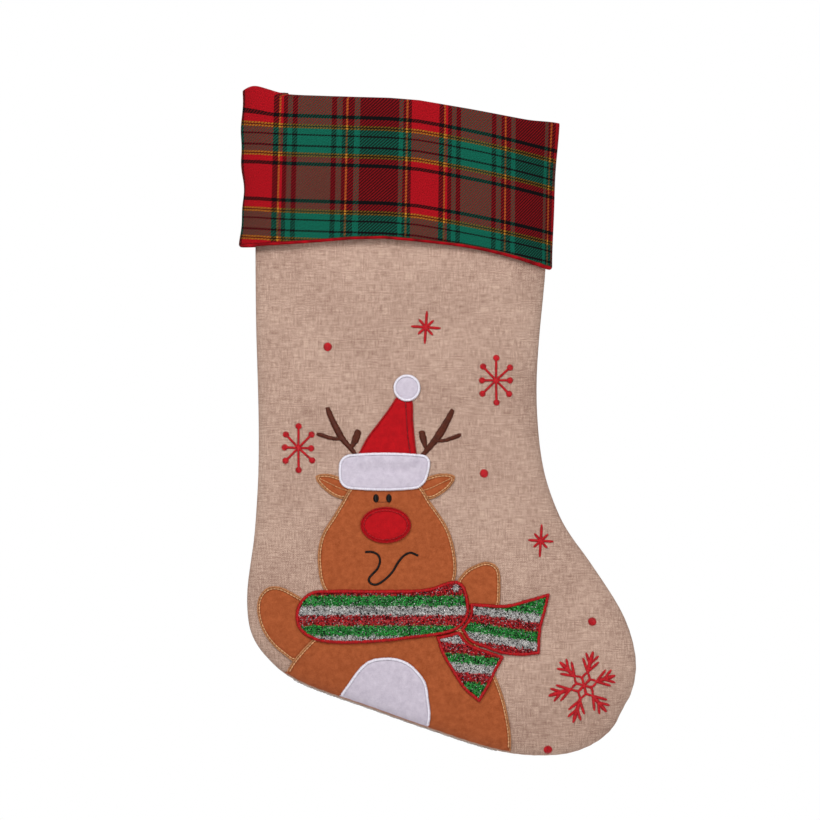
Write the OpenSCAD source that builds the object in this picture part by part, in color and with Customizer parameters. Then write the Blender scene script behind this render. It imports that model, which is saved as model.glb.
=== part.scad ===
// A lined Christmas stocking with a turned-down tartan cuff, a felt reindeer
// stitched on its front, and a cloth loop to hang it by.
// X runs from the heel side to the toe, Y from the decorated front to the back,
// Z up. The origin is on the crease about which the hanging loop folds.

/* [Stocking] */
// Depth from the middle plane to each face of the slightly filled stocking
pillow_depth = 14; // [12:0.5:16]
// Width of the band beside the seam over which each face curves round
pillow_edge = 58; // [50:1:60]
// Thickness of the linen panels
linen_t = 1.2; // [0.8:0.1:1.4]
// Thickness of the stiffening cloth behind the figure
backing_t = 0.4; // [0.3:0.05:0.5]
// Thickness of the lining
lining_t = 0.8; // [0.5:0.1:1]
// Width of the overlocked seam allowance inside
seam_w = 6.5; // [4:0.5:9]

/* [Cuff] */
// Depth from the middle plane to the cuff's face at the rim
cuff_depth_top = 16; // [15.5:0.25:16.5]
// Depth from the middle plane to the cuff's face at its hem
cuff_depth_hem = 20; // [19:0.25:21]
// Thickness of one layer of tartan
tartan_t = 1.2; // [0.8:0.1:1.4]
// Length of tartan that is turned over the rim into the mouth
turn_in = 12; // [8:1:20]

/* [Figure] */
// Thickness of the felt
felt_t = 1; // [0.6:0.1:1.1]
// Thickness of the embroidery
thread_t = 0.6; // [0.4:0.05:0.8]
// Width of the stitched line round each piece of felt
stitch_w = 1.4; // [1:0.1:2]
// Width of the satin border round the scarf
border_w = 3.2; // [2:0.2:4]
// Width of the embroidered arms of stars and snowflakes
arm_w = 1.6; // [1:0.1:2.2]

/* [Hanging loop] */
// Width of the cloth strap
strap_w = 12; // [8:1:16]
// Thickness of the folded strap
strap_t = 1.3; // [1:0.1:1.3]
// Distance from the crease to the bottom of the loop
loop_len = 59; // [50:1:70]
// Radius inside the bend of the loop
loop_bend_r = 3.6; // [3:0.1:4]

/* [Hidden] */

gap = 0.4;
seam_gap = 0.15;
// The middle plane lies this far in front of the loop's crease
mid_y = -19.5;

// Layers over the linen, by distance from its face: limbs, ears and threads, then
// torso and head, then what lies on those, then borders and stitched lines
layer_a = 0.5;
layer_b = layer_a + felt_t + gap;
layer_c = layer_b + felt_t + gap;
layer_d = layer_c + felt_t + 0.3;

// Edge of the stocking, in pairs from the rim to the tip of the toe: down the heel
// side and along the sole, and down the instep
heel_side = [[-17, -6], [-17, -60], [-17, -111], [-16.5, -163], [-15, -215], [-15, -262],
    [-18, -308], [-22.5, -342], [-20.5, -371], [-8, -391], [14, -407.5], [60, -424.5],
    [110, -442], [158, -456], [202, -455.5], [230, -436.5]];
instep_side = [[187, -27], [185, -75], [184, -122], [180.5, -160], [178, -197], [179, -232],
    [184, -265], [196, -296.5], [211, -318.5], [225, -339], [236.5, -358], [243.5, -376],
    [246.5, -394], [244.5, -410], [239, -423], [230, -436.5]];
tip = len(heel_side) - 1;
// The rim of the linen rises this much in the middle of its width
rim_rise = 7;
// Places across the stocking, closer together where the cloth curves to the seam
across = [0, 0.03, 0.09, 0.17, 0.28, 0.4, 0.5, 0.6, 0.72, 0.83, 0.91, 0.97, 1];

// Fold at the rim and hem of the cuff, from the heel side to the instep
crest_line = [[-25, 0.5], [-7, -1.8], [40, -3.5], [87, -5], [118, -9.5], [161, -17], [193.5, -23]];
hem_line = [[-26.5, -107], [13.5, -105], [65, -101.5], [102, -104.5], [131.5, -108],
    [161, -114.5], [187.5, -122.5]];

// Outlines of the felt: the edge that shows, anticlockwise, and the rest of it, which
// lies under another piece
head_edge = [[49.5, -272], [43.5, -282], [37, -293], [30.5, -303.5], [27.5, -315],
    [27.5, -327], [31, -342], [45, -353], [78, -356], [108, -352], [120, -338],
    [121.5, -322], [117.5, -304], [111, -292], [103.5, -281.5], [97, -271], [86, -264],
    [61, -264]];
left_ear_edge = [[25.5, -264.5], [28.5, -270.5], [36, -277], [44, -280], [50, -277],
    [50, -270], [42, -265.5], [33, -263]];
right_ear_edge = [[121, -264.5], [112, -262.8], [103, -265], [96, -269], [96, -277],
    [104, -280], [111.5, -276.5], [117.5, -271.5]];
cone_edge = [[94.5, -250], [93, -237], [92, -224.5], [91.5, -213], [86.5, -208.5],
    [81, -210.5], [75.5, -218.5], [68, -228.5], [60.5, -238.5], [54.5, -250]];
cone_under = [[54, -256], [95, -256]];
left_arm_edge = [[16, -348.5], [9, -344.5], [1.5, -341], [-6, -341], [-11.5, -345.5],
    [-14, -352.5], [-13.5, -361.5], [-10, -371.5], [-2.5, -381.5], [10, -391.5]];
left_arm_under = [[22, -388], [30, -368], [26, -352]];
right_arm_edge = [[151.5, -351.5], [152, -340.5], [151.5, -330.5], [148.5, -325.5],
    [142.5, -323.5], [135.5, -325.5], [128.5, -329.5], [123.5, -335.5]];
right_arm_under = [[122, -348], [130, -358], [148, -358]];
torso_left = [[24, -376], [17, -383], [10, -391.5], [4.5, -401.5]];
torso_right = [[159.5, -454], [159.5, -441.5], [157, -427], [153.5, -414], [148, -400.5],
    [141, -389]];
torso_under = [[132, -372], [110, -366], [70, -364], [35, -368]];
belly_edge = [[103, -437], [104.5, -428], [103, -416.5], [101, -406.5], [96, -399],
    [89.5, -393], [81, -389.5], [71.5, -389], [62, -391], [54.5, -397.5], [48, -406.5],
    [41.5, -415]];
wrap_edge = [[12.5, -362.5], [14, -368], [19.5, -373.5], [28, -377], [41, -378.5],
    [54.5, -378.5], [73.5, -377.5], [92.5, -375.5], [106, -374], [118, -371.5],
    [124, -368.5], [129.5, -361.5], [130.5, -356.5], [129, -345], [127, -340],
    [123, -337], [118, -337], [113, -338.5], [104.5, -341.5], [73.5, -343], [35.5, -343],
    [23.5, -344], [16.5, -349], [13, -356]];
upper_tail_edge = [[131.5, -352], [132, -357], [130.5, -362.5], [125.5, -369.5],
    [131, -377.5], [142.5, -382.5], [154.5, -386.5], [166.5, -387.5], [179, -386.5],
    [180, -369], [183, -357], [185.5, -345.5], [171, -349.5], [157, -353], [140, -352.5]];
lower_tail_edge = [[108.5, -375], [112.5, -386.5], [119, -397.5], [127, -409.5],
    [138, -419], [145, -407], [149.5, -397.5], [154.5, -388.5], [142, -384.2],
    [130, -379.2], [123.8, -371.2], [118, -373]];
// How far along the sole the torso and the belly reach, counted in points of heel_side
torso_sole = [9.6, 13];
belly_sole = [10.65, 11.8];

brim_at = [72.3, -261.3];
brim_size = [61.5, 23.5];
brim_r = 8;
pompom_at = [88, -203.7];
pompom_r = 9;
nose_at = [73.4, -298];
nose_size = [34.4, 24.6];
eyes_at = [[66.7, -279.6], [75.6, -279.6]];
eye_size = [3.7, 5.5];
mouth_path = [[59.5, -316.5], [64, -316.5], [68, -318.5], [69.5, -322.5], [68, -327.5],
    [65, -331], [62, -334.5], [62.5, -337.5], [66, -339], [70, -337.5], [74.5, -334],
    [78.5, -329.5], [82, -323.5], [86, -319], [90.5, -317], [95.5, -319]];

dots_at = [[33.5, -175.5], [141, -262.5], [215.5, -364.5], [185, -452.5]];
dot_r = 2.9;
// Each star: its middle and the length of its upright, level and slanting arms
upper_star_arms = [[101, -162], 11, 10, 7];
lower_star_arms = [[180, -309], 11, 8.5, 6.5];
// Arms and end knots of the two small snowflakes
small_flakes_at = [[13.5, -245], [149, -198.5]];
small_flake_arms = [15.3, 9.2, 12.6];
flake_knot_r = 2.3;
toe_flake_at = [209, -408.5];
toe_flake_arm = 24.5;
toe_flake_turn = 14;

// --- Curves ---------------------------------------------------------------------

// Catmull-Rom curve between p1 and p2
function spline(p0, p1, p2, p3, t) =
    0.5 * (2 * p1 + (p2 - p0) * t + (2 * p0 - 5 * p1 + 4 * p2 - p3) * t * t
        + (3 * p1 - p0 - 3 * p2 + p3) * t * t * t);

// Point at place t, counted in points, on the open curve through points p
function curve_at(p, t) =
    let (i = min(floor(t), len(p) - 2), last = len(p) - 1)
    spline(p[max(i - 1, 0)], p[i], p[i + 1], p[min(i + 2, last)], t - i);

// The open curve through p, with n steps from each point to the next
function curve(p, n = 2) = [for (k = [0 : n * (len(p) - 1)]) curve_at(p, k / n)];

// The closed curve through p
function ring(p, n = 2) =
    let (m = len(p))
    [for (k = [0 : n * m - 1])
        let (i = floor(k / n))
        spline(p[(i + m - 1) % m], p[i], p[(i + 1) % m], p[(i + 2) % m], k / n - i)];

function ellipse(at, size, n) =
    [for (k = [0 : n - 1])
        at + [size[0] / 2 * cos(360 * k / n), size[1] / 2 * sin(360 * k / n)]];

function rounded_box(at, size, r, n = 4) =
    [for (c = [0 : 3], k = [0 : n])
        let (a = 90 * c + 90 * k / n,
            corner = [size[0] / 2 - r, size[1] / 2 - r],
            s = [[1, 1], [-1, 1], [-1, -1], [1, -1]][c])
        at + [s[0] * corner[0], s[1] * corner[1]] + r * [cos(a), sin(a)]];

// Unit direction to the left of the way the points run, at point i of a closed list
function left_of(p, i) =
    let (m = len(p), d = p[(i + 1) % m] - p[(i + m - 1) % m])
    [-d[1], d[0]] / norm(d);

// The same at a point of an open list
function left_of_open(p, i) =
    let (d = p[min(i + 1, len(p) - 1)] - p[max(i - 1, 0)])
    [-d[1], d[0]] / norm(d);

function inset(p, by) = [for (i = [0 : len(p) - 1]) p[i] + by * left_of(p, i)];

// --- The face of the stocking ------------------------------------------------------

// The whole edge except the mouth: heel side, sole, toe, instep
edge_points = concat(heel_side, [for (i = [1 : tip]) instep_side[tip - i]]);
outline = curve(edge_points, 2);

function nearest_on(p, a, b) =
    let (ab = b - a)
    a + ab * max(0, min(1, ((p - a) * ab) / (ab * ab)));

// Distance from p to the edge, and the direction from the edge to p
function from_edge(p) =
    let (q = [for (i = [0 : len(outline) - 2]) nearest_on(p, outline[i], outline[i + 1])],
        d = [for (c = q) norm(p - c)],
        near = min(d),
        i = search(near, d)[0],
        way = outline[i + 1] - outline[i])
    [near, near > 0.05 ? (p - q[i]) / near : [-way[1], way[0]] / norm(way)];

// Point over place p, at distance e outside the face: the face is a quarter of an
// ellipse from the seam to pillow_edge, and level inside that. side is 1 at the
// front and -1 at the back
function skin(p, e, side = 1) =
    let (near = from_edge(p),
        c = max(0, 1 - near[0] / pillow_edge),
        s = sqrt(1 - c * c),
        k = c * pillow_depth / pillow_edge,
        n = [-near[1][0] * k, -s, -near[1][1] * k],
        u = n / norm(n))
    [p[0] + e * u[0], mid_y + side * (-seam_gap - pillow_depth * s + e * u[1]), p[1] + e * u[2]];

// Place on the panel: t counts from the rim to the toe, s from the heel side across
function panel_place(t, s) =
    curve_at(heel_side, t) * (1 - s) + curve_at(instep_side, t) * s
        + [0, rim_rise * 4 * s * (1 - s) * max(0, 1 - t / 2)];

// --- Solids from points ------------------------------------------------------------

// A solid sheet between two grids of points, the rows of both running the same way
module sheet(front, back, side = 1) {
    rows = len(front);
    cols = len(front[0]);
    m = rows * cols;
    function at(i, j) = i * cols + j;
    face = [for (i = [0 : rows - 2], j = [0 : cols - 2])
        each [[at(i, j), at(i, j + 1), at(i + 1, j + 1)], [at(i, j), at(i + 1, j + 1), at(i + 1, j)]]];
    rim = concat([for (j = [0 : cols - 1]) at(0, j)],
        [for (i = [1 : rows - 1]) at(i, cols - 1)],
        [for (j = [cols - 2 : -1 : 0]) at(rows - 1, j)],
        [for (i = [rows - 2 : -1 : 1]) at(i, 0)]);
    n = len(rim);
    wall = [for (k = [0 : n - 1])
        let (a = rim[k], b = rim[(k + 1) % n])
        each [[b, a, a + m], [b, a + m, b + m]]];
    far = [for (f = face) [f[2] + m, f[1] + m, f[0] + m]];
    all = concat(face, wall, far);
    points = concat([for (r = front) each r], [for (r = back) each r]);
    polyhedron(points, side > 0 ? all : [for (f = all) [f[2], f[1], f[0]]], convexity = 6);
}

// A flat piece of cloth laid on the face: p is its outline, anticlockwise, c a point
// that sees all of it, e1 and e2 the distances of its two faces from the linen
module patch(p, c, e1, e2, rings = [0.4, 0.7, 0.88, 1]) {
    n = len(p);
    places = concat([c], [for (r = rings, q = p) c + (q - c) * r]);
    m = len(places);
    function at(r, j) = 1 + r * n + j % n;
    face = concat([for (j = [0 : n - 1]) [0, at(0, j + 1), at(0, j)]],
        [for (r = [0 : len(rings) - 2], j = [0 : n - 1])
            each [[at(r, j), at(r, j + 1), at(r + 1, j + 1)], [at(r, j), at(r + 1, j + 1), at(r + 1, j)]]]);
    last = len(rings) - 1;
    wall = [for (j = [0 : n - 1])
        each [[at(last, j), at(last, j + 1), at(last, j + 1) + m],
            [at(last, j), at(last, j + 1) + m, at(last, j) + m]]];
    far = [for (f = face) [f[2] + m, f[1] + m, f[0] + m]];
    points = concat([for (q = places) skin(q, e2)], [for (q = places) skin(q, e1)]);
    polyhedron(points, concat(face, wall, far), convexity = 6);
}

// A band w wide that follows the points p over the face
module band(p, w, e1, e2, closed = false) {
    n = len(p);
    side = [for (i = [0 : n - 1]) (closed ? left_of(p, i) : left_of_open(p, i)) * w / 2];
    points = [for (i = [0 : n - 1])
        each [skin(p[i] + side[i], e2), skin(p[i] - side[i], e2),
            skin(p[i] - side[i], e1), skin(p[i] + side[i], e1)]];
    steps = closed ? n : n - 1;
    walls = [for (i = [0 : steps - 1], k = [0 : 3])
        let (a = 4 * i + k, b = 4 * i + (k + 1) % 4,
            c = 4 * ((i + 1) % n) + k, d = 4 * ((i + 1) % n) + (k + 1) % 4)
        each [[a, c, d], [a, d, b]]];
    ends = closed ? [] : [[0, 1, 2], [0, 2, 3],
        [4 * n - 2, 4 * n - 3, 4 * n - 4], [4 * n - 1, 4 * n - 2, 4 * n - 4]];
    polyhedron(points, concat(walls, ends), convexity = 6);
}

// --- Cloth shell -------------------------------------------------------------------

// One cloth of the shell, t thick, at distance e inside the linen's face
module shell(e, t, side) {
    places = [for (k = [0 : 2 * tip]) [for (s = across) panel_place(k / 2, s)]];
    sheet([for (row = places) [for (p = row) skin(p, -e, side)]],
        [for (row = places) [for (p = row) skin(p, -e - t, side)]], side);
}

lining_e = linen_t + backing_t + 2 * gap;

module front_panel() {
    color("#BAA28F") shell(0, linen_t, 1);
}

module back_panel() {
    color("#BAA28F") shell(0, linen_t, -1);
}

module front_lining() {
    color("#E6DFD2") shell(lining_e, lining_t, 1);
}

module back_lining() {
    color("#E6DFD2") shell(lining_e, lining_t, -1);
}

// Stiffening cloth that the embroidery is sewn through
module embroidery_backing() {
    color("#F2F0EA")
        patch(ring([[30, -215], [8, -270], [4, -330], [16, -384], [70, -412], [130, -424],
            [160, -380], [150, -300], [126, -215], [84, -192]], 2), [80, -310],
            -linen_t - gap - backing_t, -linen_t - gap);
}

// The raw edges, bound with thread, that point inwards at the seam
module overlocked_seam() {
    start = lining_e + lining_t + gap + 1;
    run = [for (k = [2 : len(outline) - 3]) outline[k] + start * left_of_open(outline, k)];
    deep = [for (k = [2 : len(outline) - 3]) outline[k] + (start + seam_w) * left_of_open(outline, k)];
    n = len(run);
    color("#D9D2C4") translate([0, mid_y + 0.6, 0]) rotate([90, 0, 0])
        linear_extrude(1.2) polygon(concat(run, [for (k = [0 : n - 1]) deep[n - 1 - k]]));
}

// --- Cuff --------------------------------------------------------------------------

cuff_steps = [0, 0.03, 0.07, 0.13, 0.2, 0.28, 0.36, 0.45, 0.55, 0.64, 0.72, 0.8, 0.87, 0.93, 0.97, 1];
cuff_levels = [0.03, 0.18, 0.36, 0.55, 0.78, 1];
cuff_spans = len(crest_line) - 1;
// Share of the cuff's width that curves round to each side seam
cuff_round = 0.28;

function bulge(u) = sqrt(1 - pow(max(0, 1 - min(u, 1 - u) / cuff_round), 2));

// Point of the cuff's outer cloth: u across, v from the crest to the hem, lies inside
// its face by inside
function cuff_point(u, v, inside, side) =
    let (p = curve_at(crest_line, u * cuff_spans) * (1 - v) + curve_at(hem_line, u * cuff_spans) * v,
        depth = cuff_depth_top + (cuff_depth_hem - cuff_depth_top) * sqrt(v) - inside)
    [p[0] + inside * (1 - 2 * u), mid_y - side * (seam_gap + depth * bulge(u)), p[1]];

// The cloth turned into the mouth stops short of the corners at the side seams
corner_room = 4;

// Point of the cloth turned into the mouth: drop below the crest, inside the linen's
// face by inside
function mouth_point(u, drop, inside, side) =
    let (left = heel_side[0][0] + inside + corner_room,
        right = instep_side[0][0] - inside - corner_room,
        x = left + (right - left) * u)
    [x, mid_y - side * (seam_gap + (pillow_depth - inside) * bulge(u)), lookup(x, crest_line) - drop];

mouth_e = lining_e + lining_t + gap;

module cuff(side) {
    outer = [for (u = cuff_steps) concat(
        [for (k = [len(cuff_levels) - 1 : -1 : 0]) cuff_point(u, cuff_levels[k], 0, side)],
        [(cuff_point(u, 0, 0, side) * 2 + mouth_point(u, 0, mouth_e, side)) / 3,
            mouth_point(u, 2, mouth_e + tartan_t, side),
            mouth_point(u, turn_in, mouth_e + tartan_t, side)])];
    inner = [for (u = cuff_steps) concat(
        [for (k = [len(cuff_levels) - 1 : -1 : 0]) cuff_point(u, cuff_levels[k], tartan_t, side)],
        [(cuff_point(u, 0, tartan_t, side) * 2 + mouth_point(u, 0, mouth_e, side)) / 3 - [0, 0, tartan_t],
            mouth_point(u, 2 + tartan_t / 2, mouth_e, side),
            mouth_point(u, turn_in, mouth_e, side)])];
    sheet(outer, inner, side);
}

module facing(side) {
    e = tartan_t + gap;
    levels = [0.06, 0.25, 0.5, 0.75, 0.985];
    sheet([for (u = cuff_steps) [for (k = [4 : -1 : 0]) cuff_point(u, levels[k], e, side)]],
        [for (u = cuff_steps) [for (k = [4 : -1 : 0]) cuff_point(u, levels[k], e + lining_t, side)]], side);
}

module cuff_front() {
    color("#A01824") cuff(1);
}

module cuff_back() {
    color("#A01824") cuff(-1);
}

module cuff_front_facing() {
    color("#7D1226") facing(1);
}

module cuff_back_facing() {
    color("#7D1226") facing(-1);
}

// --- Hanging loop ------------------------------------------------------------------

// Extrudes a profile drawn in Y and Z over the width of the strap
module strap() {
    translate([-strap_w / 2, 0, 0]) rotate([90, 0, 90]) linear_extrude(strap_w) children();
}

tab_len = 10;
bend_z = loop_len - loop_bend_r - strap_t;

module hanging_loop() {
    outer_r = loop_bend_r + strap_t;
    color("#A01824") strap() difference() {
        union() {
            circle(strap_t, $fn = 32);
            translate([-strap_t, -tab_len]) square([2 * strap_t, tab_len]);
            polygon([[-strap_t, -tab_len], [-strap_t, -bend_z],
                [2 * outer_r - strap_t, -bend_z], [strap_t, -tab_len]]);
            translate([loop_bend_r, -bend_z]) circle(outer_r, $fn = 48);
        }
        polygon([[0, -tab_len - 3], [0, -bend_z], [2 * loop_bend_r, -bend_z]]);
        translate([loop_bend_r, -bend_z]) circle(loop_bend_r, $fn = 48);
    }
}

// The end of the strap that lies over the crest and is sewn inside the mouth
anchor_inner = mid_y + 0.3;
anchor_drop = 18;

module loop_anchor() {
    h = strap_t / 2;
    color("#A01824") strap() polygon([[-strap_t - gap, -h], [-strap_t - gap, h],
        [anchor_inner, h], [anchor_inner, -anchor_drop], [anchor_inner + strap_t, -anchor_drop],
        [anchor_inner + strap_t, -h]]);
}

// The sewn square and cross that hold the strap
module loop_bar_tack() {
    size = 8;
    line = 0.8;
    color("#C8232A") translate([0, anchor_inner - 0.3, -5 - size / 2]) rotate([90, 0, 0])
        linear_extrude(0.5) {
            difference() {
                square(size, center = true);
                square(size - 2 * line, center = true);
            }
            for (a = [45, -45])
                rotate(a) square([size * 1.2, line], center = true);
        }
}

// --- Reindeer ----------------------------------------------------------------------

// Places along the sole from t0 to t1, inset from the seam
function sole_line(range, by) =
    let (n = 8)
    [for (k = [0 : n])
        let (t = range[0] + (range[1] - range[0]) * k / n,
            p = curve_at(heel_side, t),
            d = curve_at(heel_side, t + 0.05) - curve_at(heel_side, t - 0.05))
        p + by * [-d[1], d[0]] / norm(d)];

// A felt piece at the layer that starts at e
module felt(p, c, e, rings = [0.4, 0.7, 0.88, 1]) {
    patch(p, c, e, e + felt_t, rings);
}

// A stitched line on felt that starts at e, set in from the edge p
module stitching(p, e, closed = false) {
    in = stitch_w / 2 + 0.3;
    run = closed ? inset(p, in) : [for (i = [0 : len(p) - 1]) p[i] + in * left_of_open(p, i)];
    band(run, stitch_w, e + felt_t + 0.05, e + felt_t + 0.35, closed);
}

module torso() {
    color("#A85532")
        felt(concat(curve(torso_left), sole_line(torso_sole, 1.5), curve(torso_right), torso_under),
            [85, -402], layer_b, [0.35, 0.6, 0.8, 0.92, 1]);
}

module torso_stitching() {
    color("#C48C5A") {
        stitching(curve([for (i = [0 : 2]) torso_left[i]]), layer_b + 0.2);
        stitching(curve([for (i = [2 : 3]) torso_right[i]]), layer_b + 0.2);
    }
}

module belly_patch() {
    color("#D9D5E0")
        felt(concat(curve(belly_edge), sole_line(belly_sole, 2.2)), [76, -412], layer_c,
            [0.4, 0.7, 0.85, 0.93, 1]);
}

module belly_stitching() {
    color("#E6E2EA") stitching(curve([for (i = [1 : 10]) belly_edge[i]]), layer_c);
}

module left_arm() {
    color("#A85532") felt(concat(curve(left_arm_edge), left_arm_under), [8, -365], layer_a);
}

module left_arm_stitching() {
    color("#C48C5A") stitching(curve([for (i = [1 : 8]) left_arm_edge[i]]), layer_a);
}

module right_arm() {
    color("#A85532") felt(concat(curve(right_arm_edge), right_arm_under), [138, -342], layer_a);
}

module right_arm_stitching() {
    color("#C48C5A") stitching(curve([for (i = [1 : 6]) right_arm_edge[i]]), layer_a);
}

module head() {
    color("#A85532") felt(ring(head_edge), [75, -310], layer_b);
}

module head_stitching() {
    color("#C48C5A") {
        stitching(curve([for (i = [1 : 5]) head_edge[i]]), layer_b);
        stitching(curve([for (i = [11 : 14]) head_edge[i]]), layer_b);
    }
}

module left_ear() {
    color("#A85532") felt(ring(left_ear_edge), [40, -271], layer_a, [0.6, 1]);
}

module left_ear_stitching() {
    outer = [for (i = [7, 0, 1, 2]) left_ear_edge[i]];
    color("#C48C5A") stitching(curve(outer), layer_a);
}

module right_ear() {
    color("#A85532") felt(ring(right_ear_edge), [106, -271], layer_a, [0.6, 1]);
}

module right_ear_stitching() {
    outer = [for (i = [6, 7, 0, 1]) right_ear_edge[i]];
    color("#C48C5A") stitching(curve(outer), layer_a);
}

module nose() {
    color("#BE121C") felt(ellipse(nose_at, nose_size, 24), nose_at, layer_c, [0.6, 1]);
}

module nose_stitching() {
    color("#8E0E16") band(ellipse(nose_at, nose_size - [5, 5], 24), stitch_w, layer_c + felt_t + 0.05,
        layer_c + felt_t + 0.35, true);
}

module eye(at) {
    color("#191212") patch(ellipse(at, eye_size, 14), at, layer_c, layer_c + thread_t, [1]);
}

module left_eye() {
    eye(eyes_at[0]);
}

module right_eye() {
    eye(eyes_at[1]);
}

module mouth() {
    color("#191212") band(curve(mouth_path), 1.2, layer_c, layer_c + thread_t);
}

// An embroidered branch through points p, w wide
module branch(p, w) {
    band(curve(p, 2), w, layer_a, layer_a + thread_t);
}

module left_antler() {
    color("#5A2D20") {
        branch([[54, -249], [47.5, -243], [42, -236], [36.5, -226], [33, -217.5]], 3.4);
        branch([[39, -236.6], [31, -236.5], [25.5, -234.5]], 3.2);
        branch([[51.2, -244.2], [52, -239.5], [55, -233.5]], 2.8);
    }
}

module right_antler() {
    color("#5A2D20") {
        branch([[98, -250.5], [103, -245], [109.5, -237.5], [115, -228.5], [119, -219]], 3.4);
        branch([[112.8, -238], [118.5, -238], [124.5, -236]], 3);
        branch([[100.2, -243.5], [99, -238.5], [98.5, -234.5]], 2.8);
    }
}

module hat_cone() {
    color("#BE121C") felt(concat(curve(cone_edge), cone_under), [80, -238], layer_a);
}

module hat_cone_stitching() {
    color("#8E0E16") {
        stitching(curve([for (i = [0 : 3]) cone_edge[i]]), layer_a);
        stitching(curve([for (i = [6 : 8]) cone_edge[i]]), layer_a);
    }
}

module hat_brim() {
    color("#D9D5E0") felt(rounded_box(brim_at, brim_size, brim_r), brim_at, layer_c);
}

module brim_stitching() {
    color("#E6E2EA") stitching(rounded_box(brim_at, brim_size, brim_r), layer_c, true);
}

module hat_pompom() {
    size = 2 * [pompom_r, pompom_r];
    color("#D9D5E0") felt(ellipse(pompom_at, size, 20), pompom_at, layer_c, [0.6, 1]);
}

module pompom_stitching() {
    size = 2 * [pompom_r, pompom_r];
    color("#E6E2EA") stitching(ellipse(pompom_at, size, 20), layer_c, true);
}

module scarf_wrap() {
    color("#3C9646") felt(ring(wrap_edge, 1), [72, -360], layer_c);
}

module scarf_upper_tail() {
    color("#3C9646") felt(upper_tail_edge, [158, -368], layer_c);
}

module scarf_lower_tail() {
    color("#3C9646") felt(lower_tail_edge, [134, -392], layer_c);
}

// Satin stitch over the edge of a piece of the scarf
module satin_border(p) {
    color("#C81423") band(inset(p, border_w / 2 + 0.4), border_w, layer_d, layer_d + thread_t, true);
}

module scarf_wrap_border() {
    satin_border(wrap_edge);
}

module upper_tail_border() {
    satin_border(ring(upper_tail_edge));
}

module lower_tail_border() {
    satin_border(lower_tail_edge);
}

// --- Snow --------------------------------------------------------------------------

function polar(a, r) = r * [cos(a), sin(a)];

// One straight embroidered arm from distance r1 to r2 from a middle, in direction a
module arm(at, a, r1, r2, w = arm_w) {
    band([at + polar(a, r1), at + polar(a, (r1 + r2) / 2), at + polar(a, r2)], w, layer_a,
        layer_a + thread_t);
}

module knot(at, r) {
    patch(ellipse(at, [2 * r, 2 * r], 12), at, layer_a, layer_a + thread_t, [1]);
}

module snow_dots() {
    color("#C8232A") for (p = dots_at) knot(p, dot_r);
}

// Eight arms round an open middle, each starting clear of its neighbours
module star(s) {
    hub = 2.2;
    color("#C8232A") for (k = [0 : 7])
        arm(s[0], 45 * k - 4, hub, k % 4 == 2 ? s[1] : k % 4 == 0 ? s[2] : s[3], arm_w);
}

module upper_star() {
    star(upper_star_arms);
}

module lower_star() {
    star(lower_star_arms);
}

module small_snowflake(at) {
    hub = 2.2;
    color("#C8232A") for (k = [0 : 7]) {
        len = k % 4 == 2 ? small_flake_arms[0] : k % 4 == 0 ? small_flake_arms[1] : small_flake_arms[2];
        arm(at, 45 * k, hub, len - flake_knot_r - 0.2);
        knot(at + polar(45 * k, len), flake_knot_r);
    }
}

module left_snowflake() {
    small_snowflake(small_flakes_at[0]);
}

module right_snowflake() {
    small_snowflake(small_flakes_at[1]);
}

// Six arms, each with three pairs of barbs
module toe_snowflake() {
    hub = 2.2;
    barbs = [0.42, 0.62, 0.82];
    barb_len = [7, 6, 4.5];
    clear = arm_w * 0.75;
    color("#C8232A") for (k = [0 : 5]) {
        a = toe_flake_turn + 60 * k;
        arm(toe_flake_at, a, hub, toe_flake_arm);
        for (b = [0 : 2], s = [-1, 1])
            arm(toe_flake_at + polar(a, barbs[b] * toe_flake_arm) + polar(a + 90 * s, clear),
                a + 50 * s, 0, barb_len[b], arm_w * 0.8);
    }
}

front_panel();
back_panel();
front_lining();
back_lining();
embroidery_backing();
overlocked_seam();
cuff_front();
cuff_back();
cuff_front_facing();
cuff_back_facing();
hanging_loop();
loop_anchor();
loop_bar_tack();
torso();
torso_stitching();
belly_patch();
belly_stitching();
left_arm();
left_arm_stitching();
right_arm();
right_arm_stitching();
head();
head_stitching();
left_ear();
left_ear_stitching();
right_ear();
right_ear_stitching();
nose();
nose_stitching();
left_eye();
right_eye();
mouth();
left_antler();
right_antler();
hat_cone();
hat_cone_stitching();
hat_brim();
brim_stitching();
hat_pompom();
pompom_stitching();
scarf_wrap();
scarf_wrap_border();
scarf_upper_tail();
upper_tail_border();
scarf_lower_tail();
lower_tail_border();
snow_dots();
upper_star();
lower_star();
left_snowflake();
right_snowflake();
toe_snowflake();
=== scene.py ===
# %% [markdown]
# # A hanging Christmas stocking
#
# The stocking is a flat bag of coarse linen-look cloth with a turned-down tartan cuff.
# A felt reindeer is sewn on its front and snowflakes are embroidered round it. The packed
# CAD model gives the places and outlines; everything seen is made here as cloth, felt,
# thread and glitter.

import bmesh
import bpy
import numpy as np
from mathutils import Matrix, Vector
from mathutils.geometry import delaunay_2d_cdt


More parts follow.
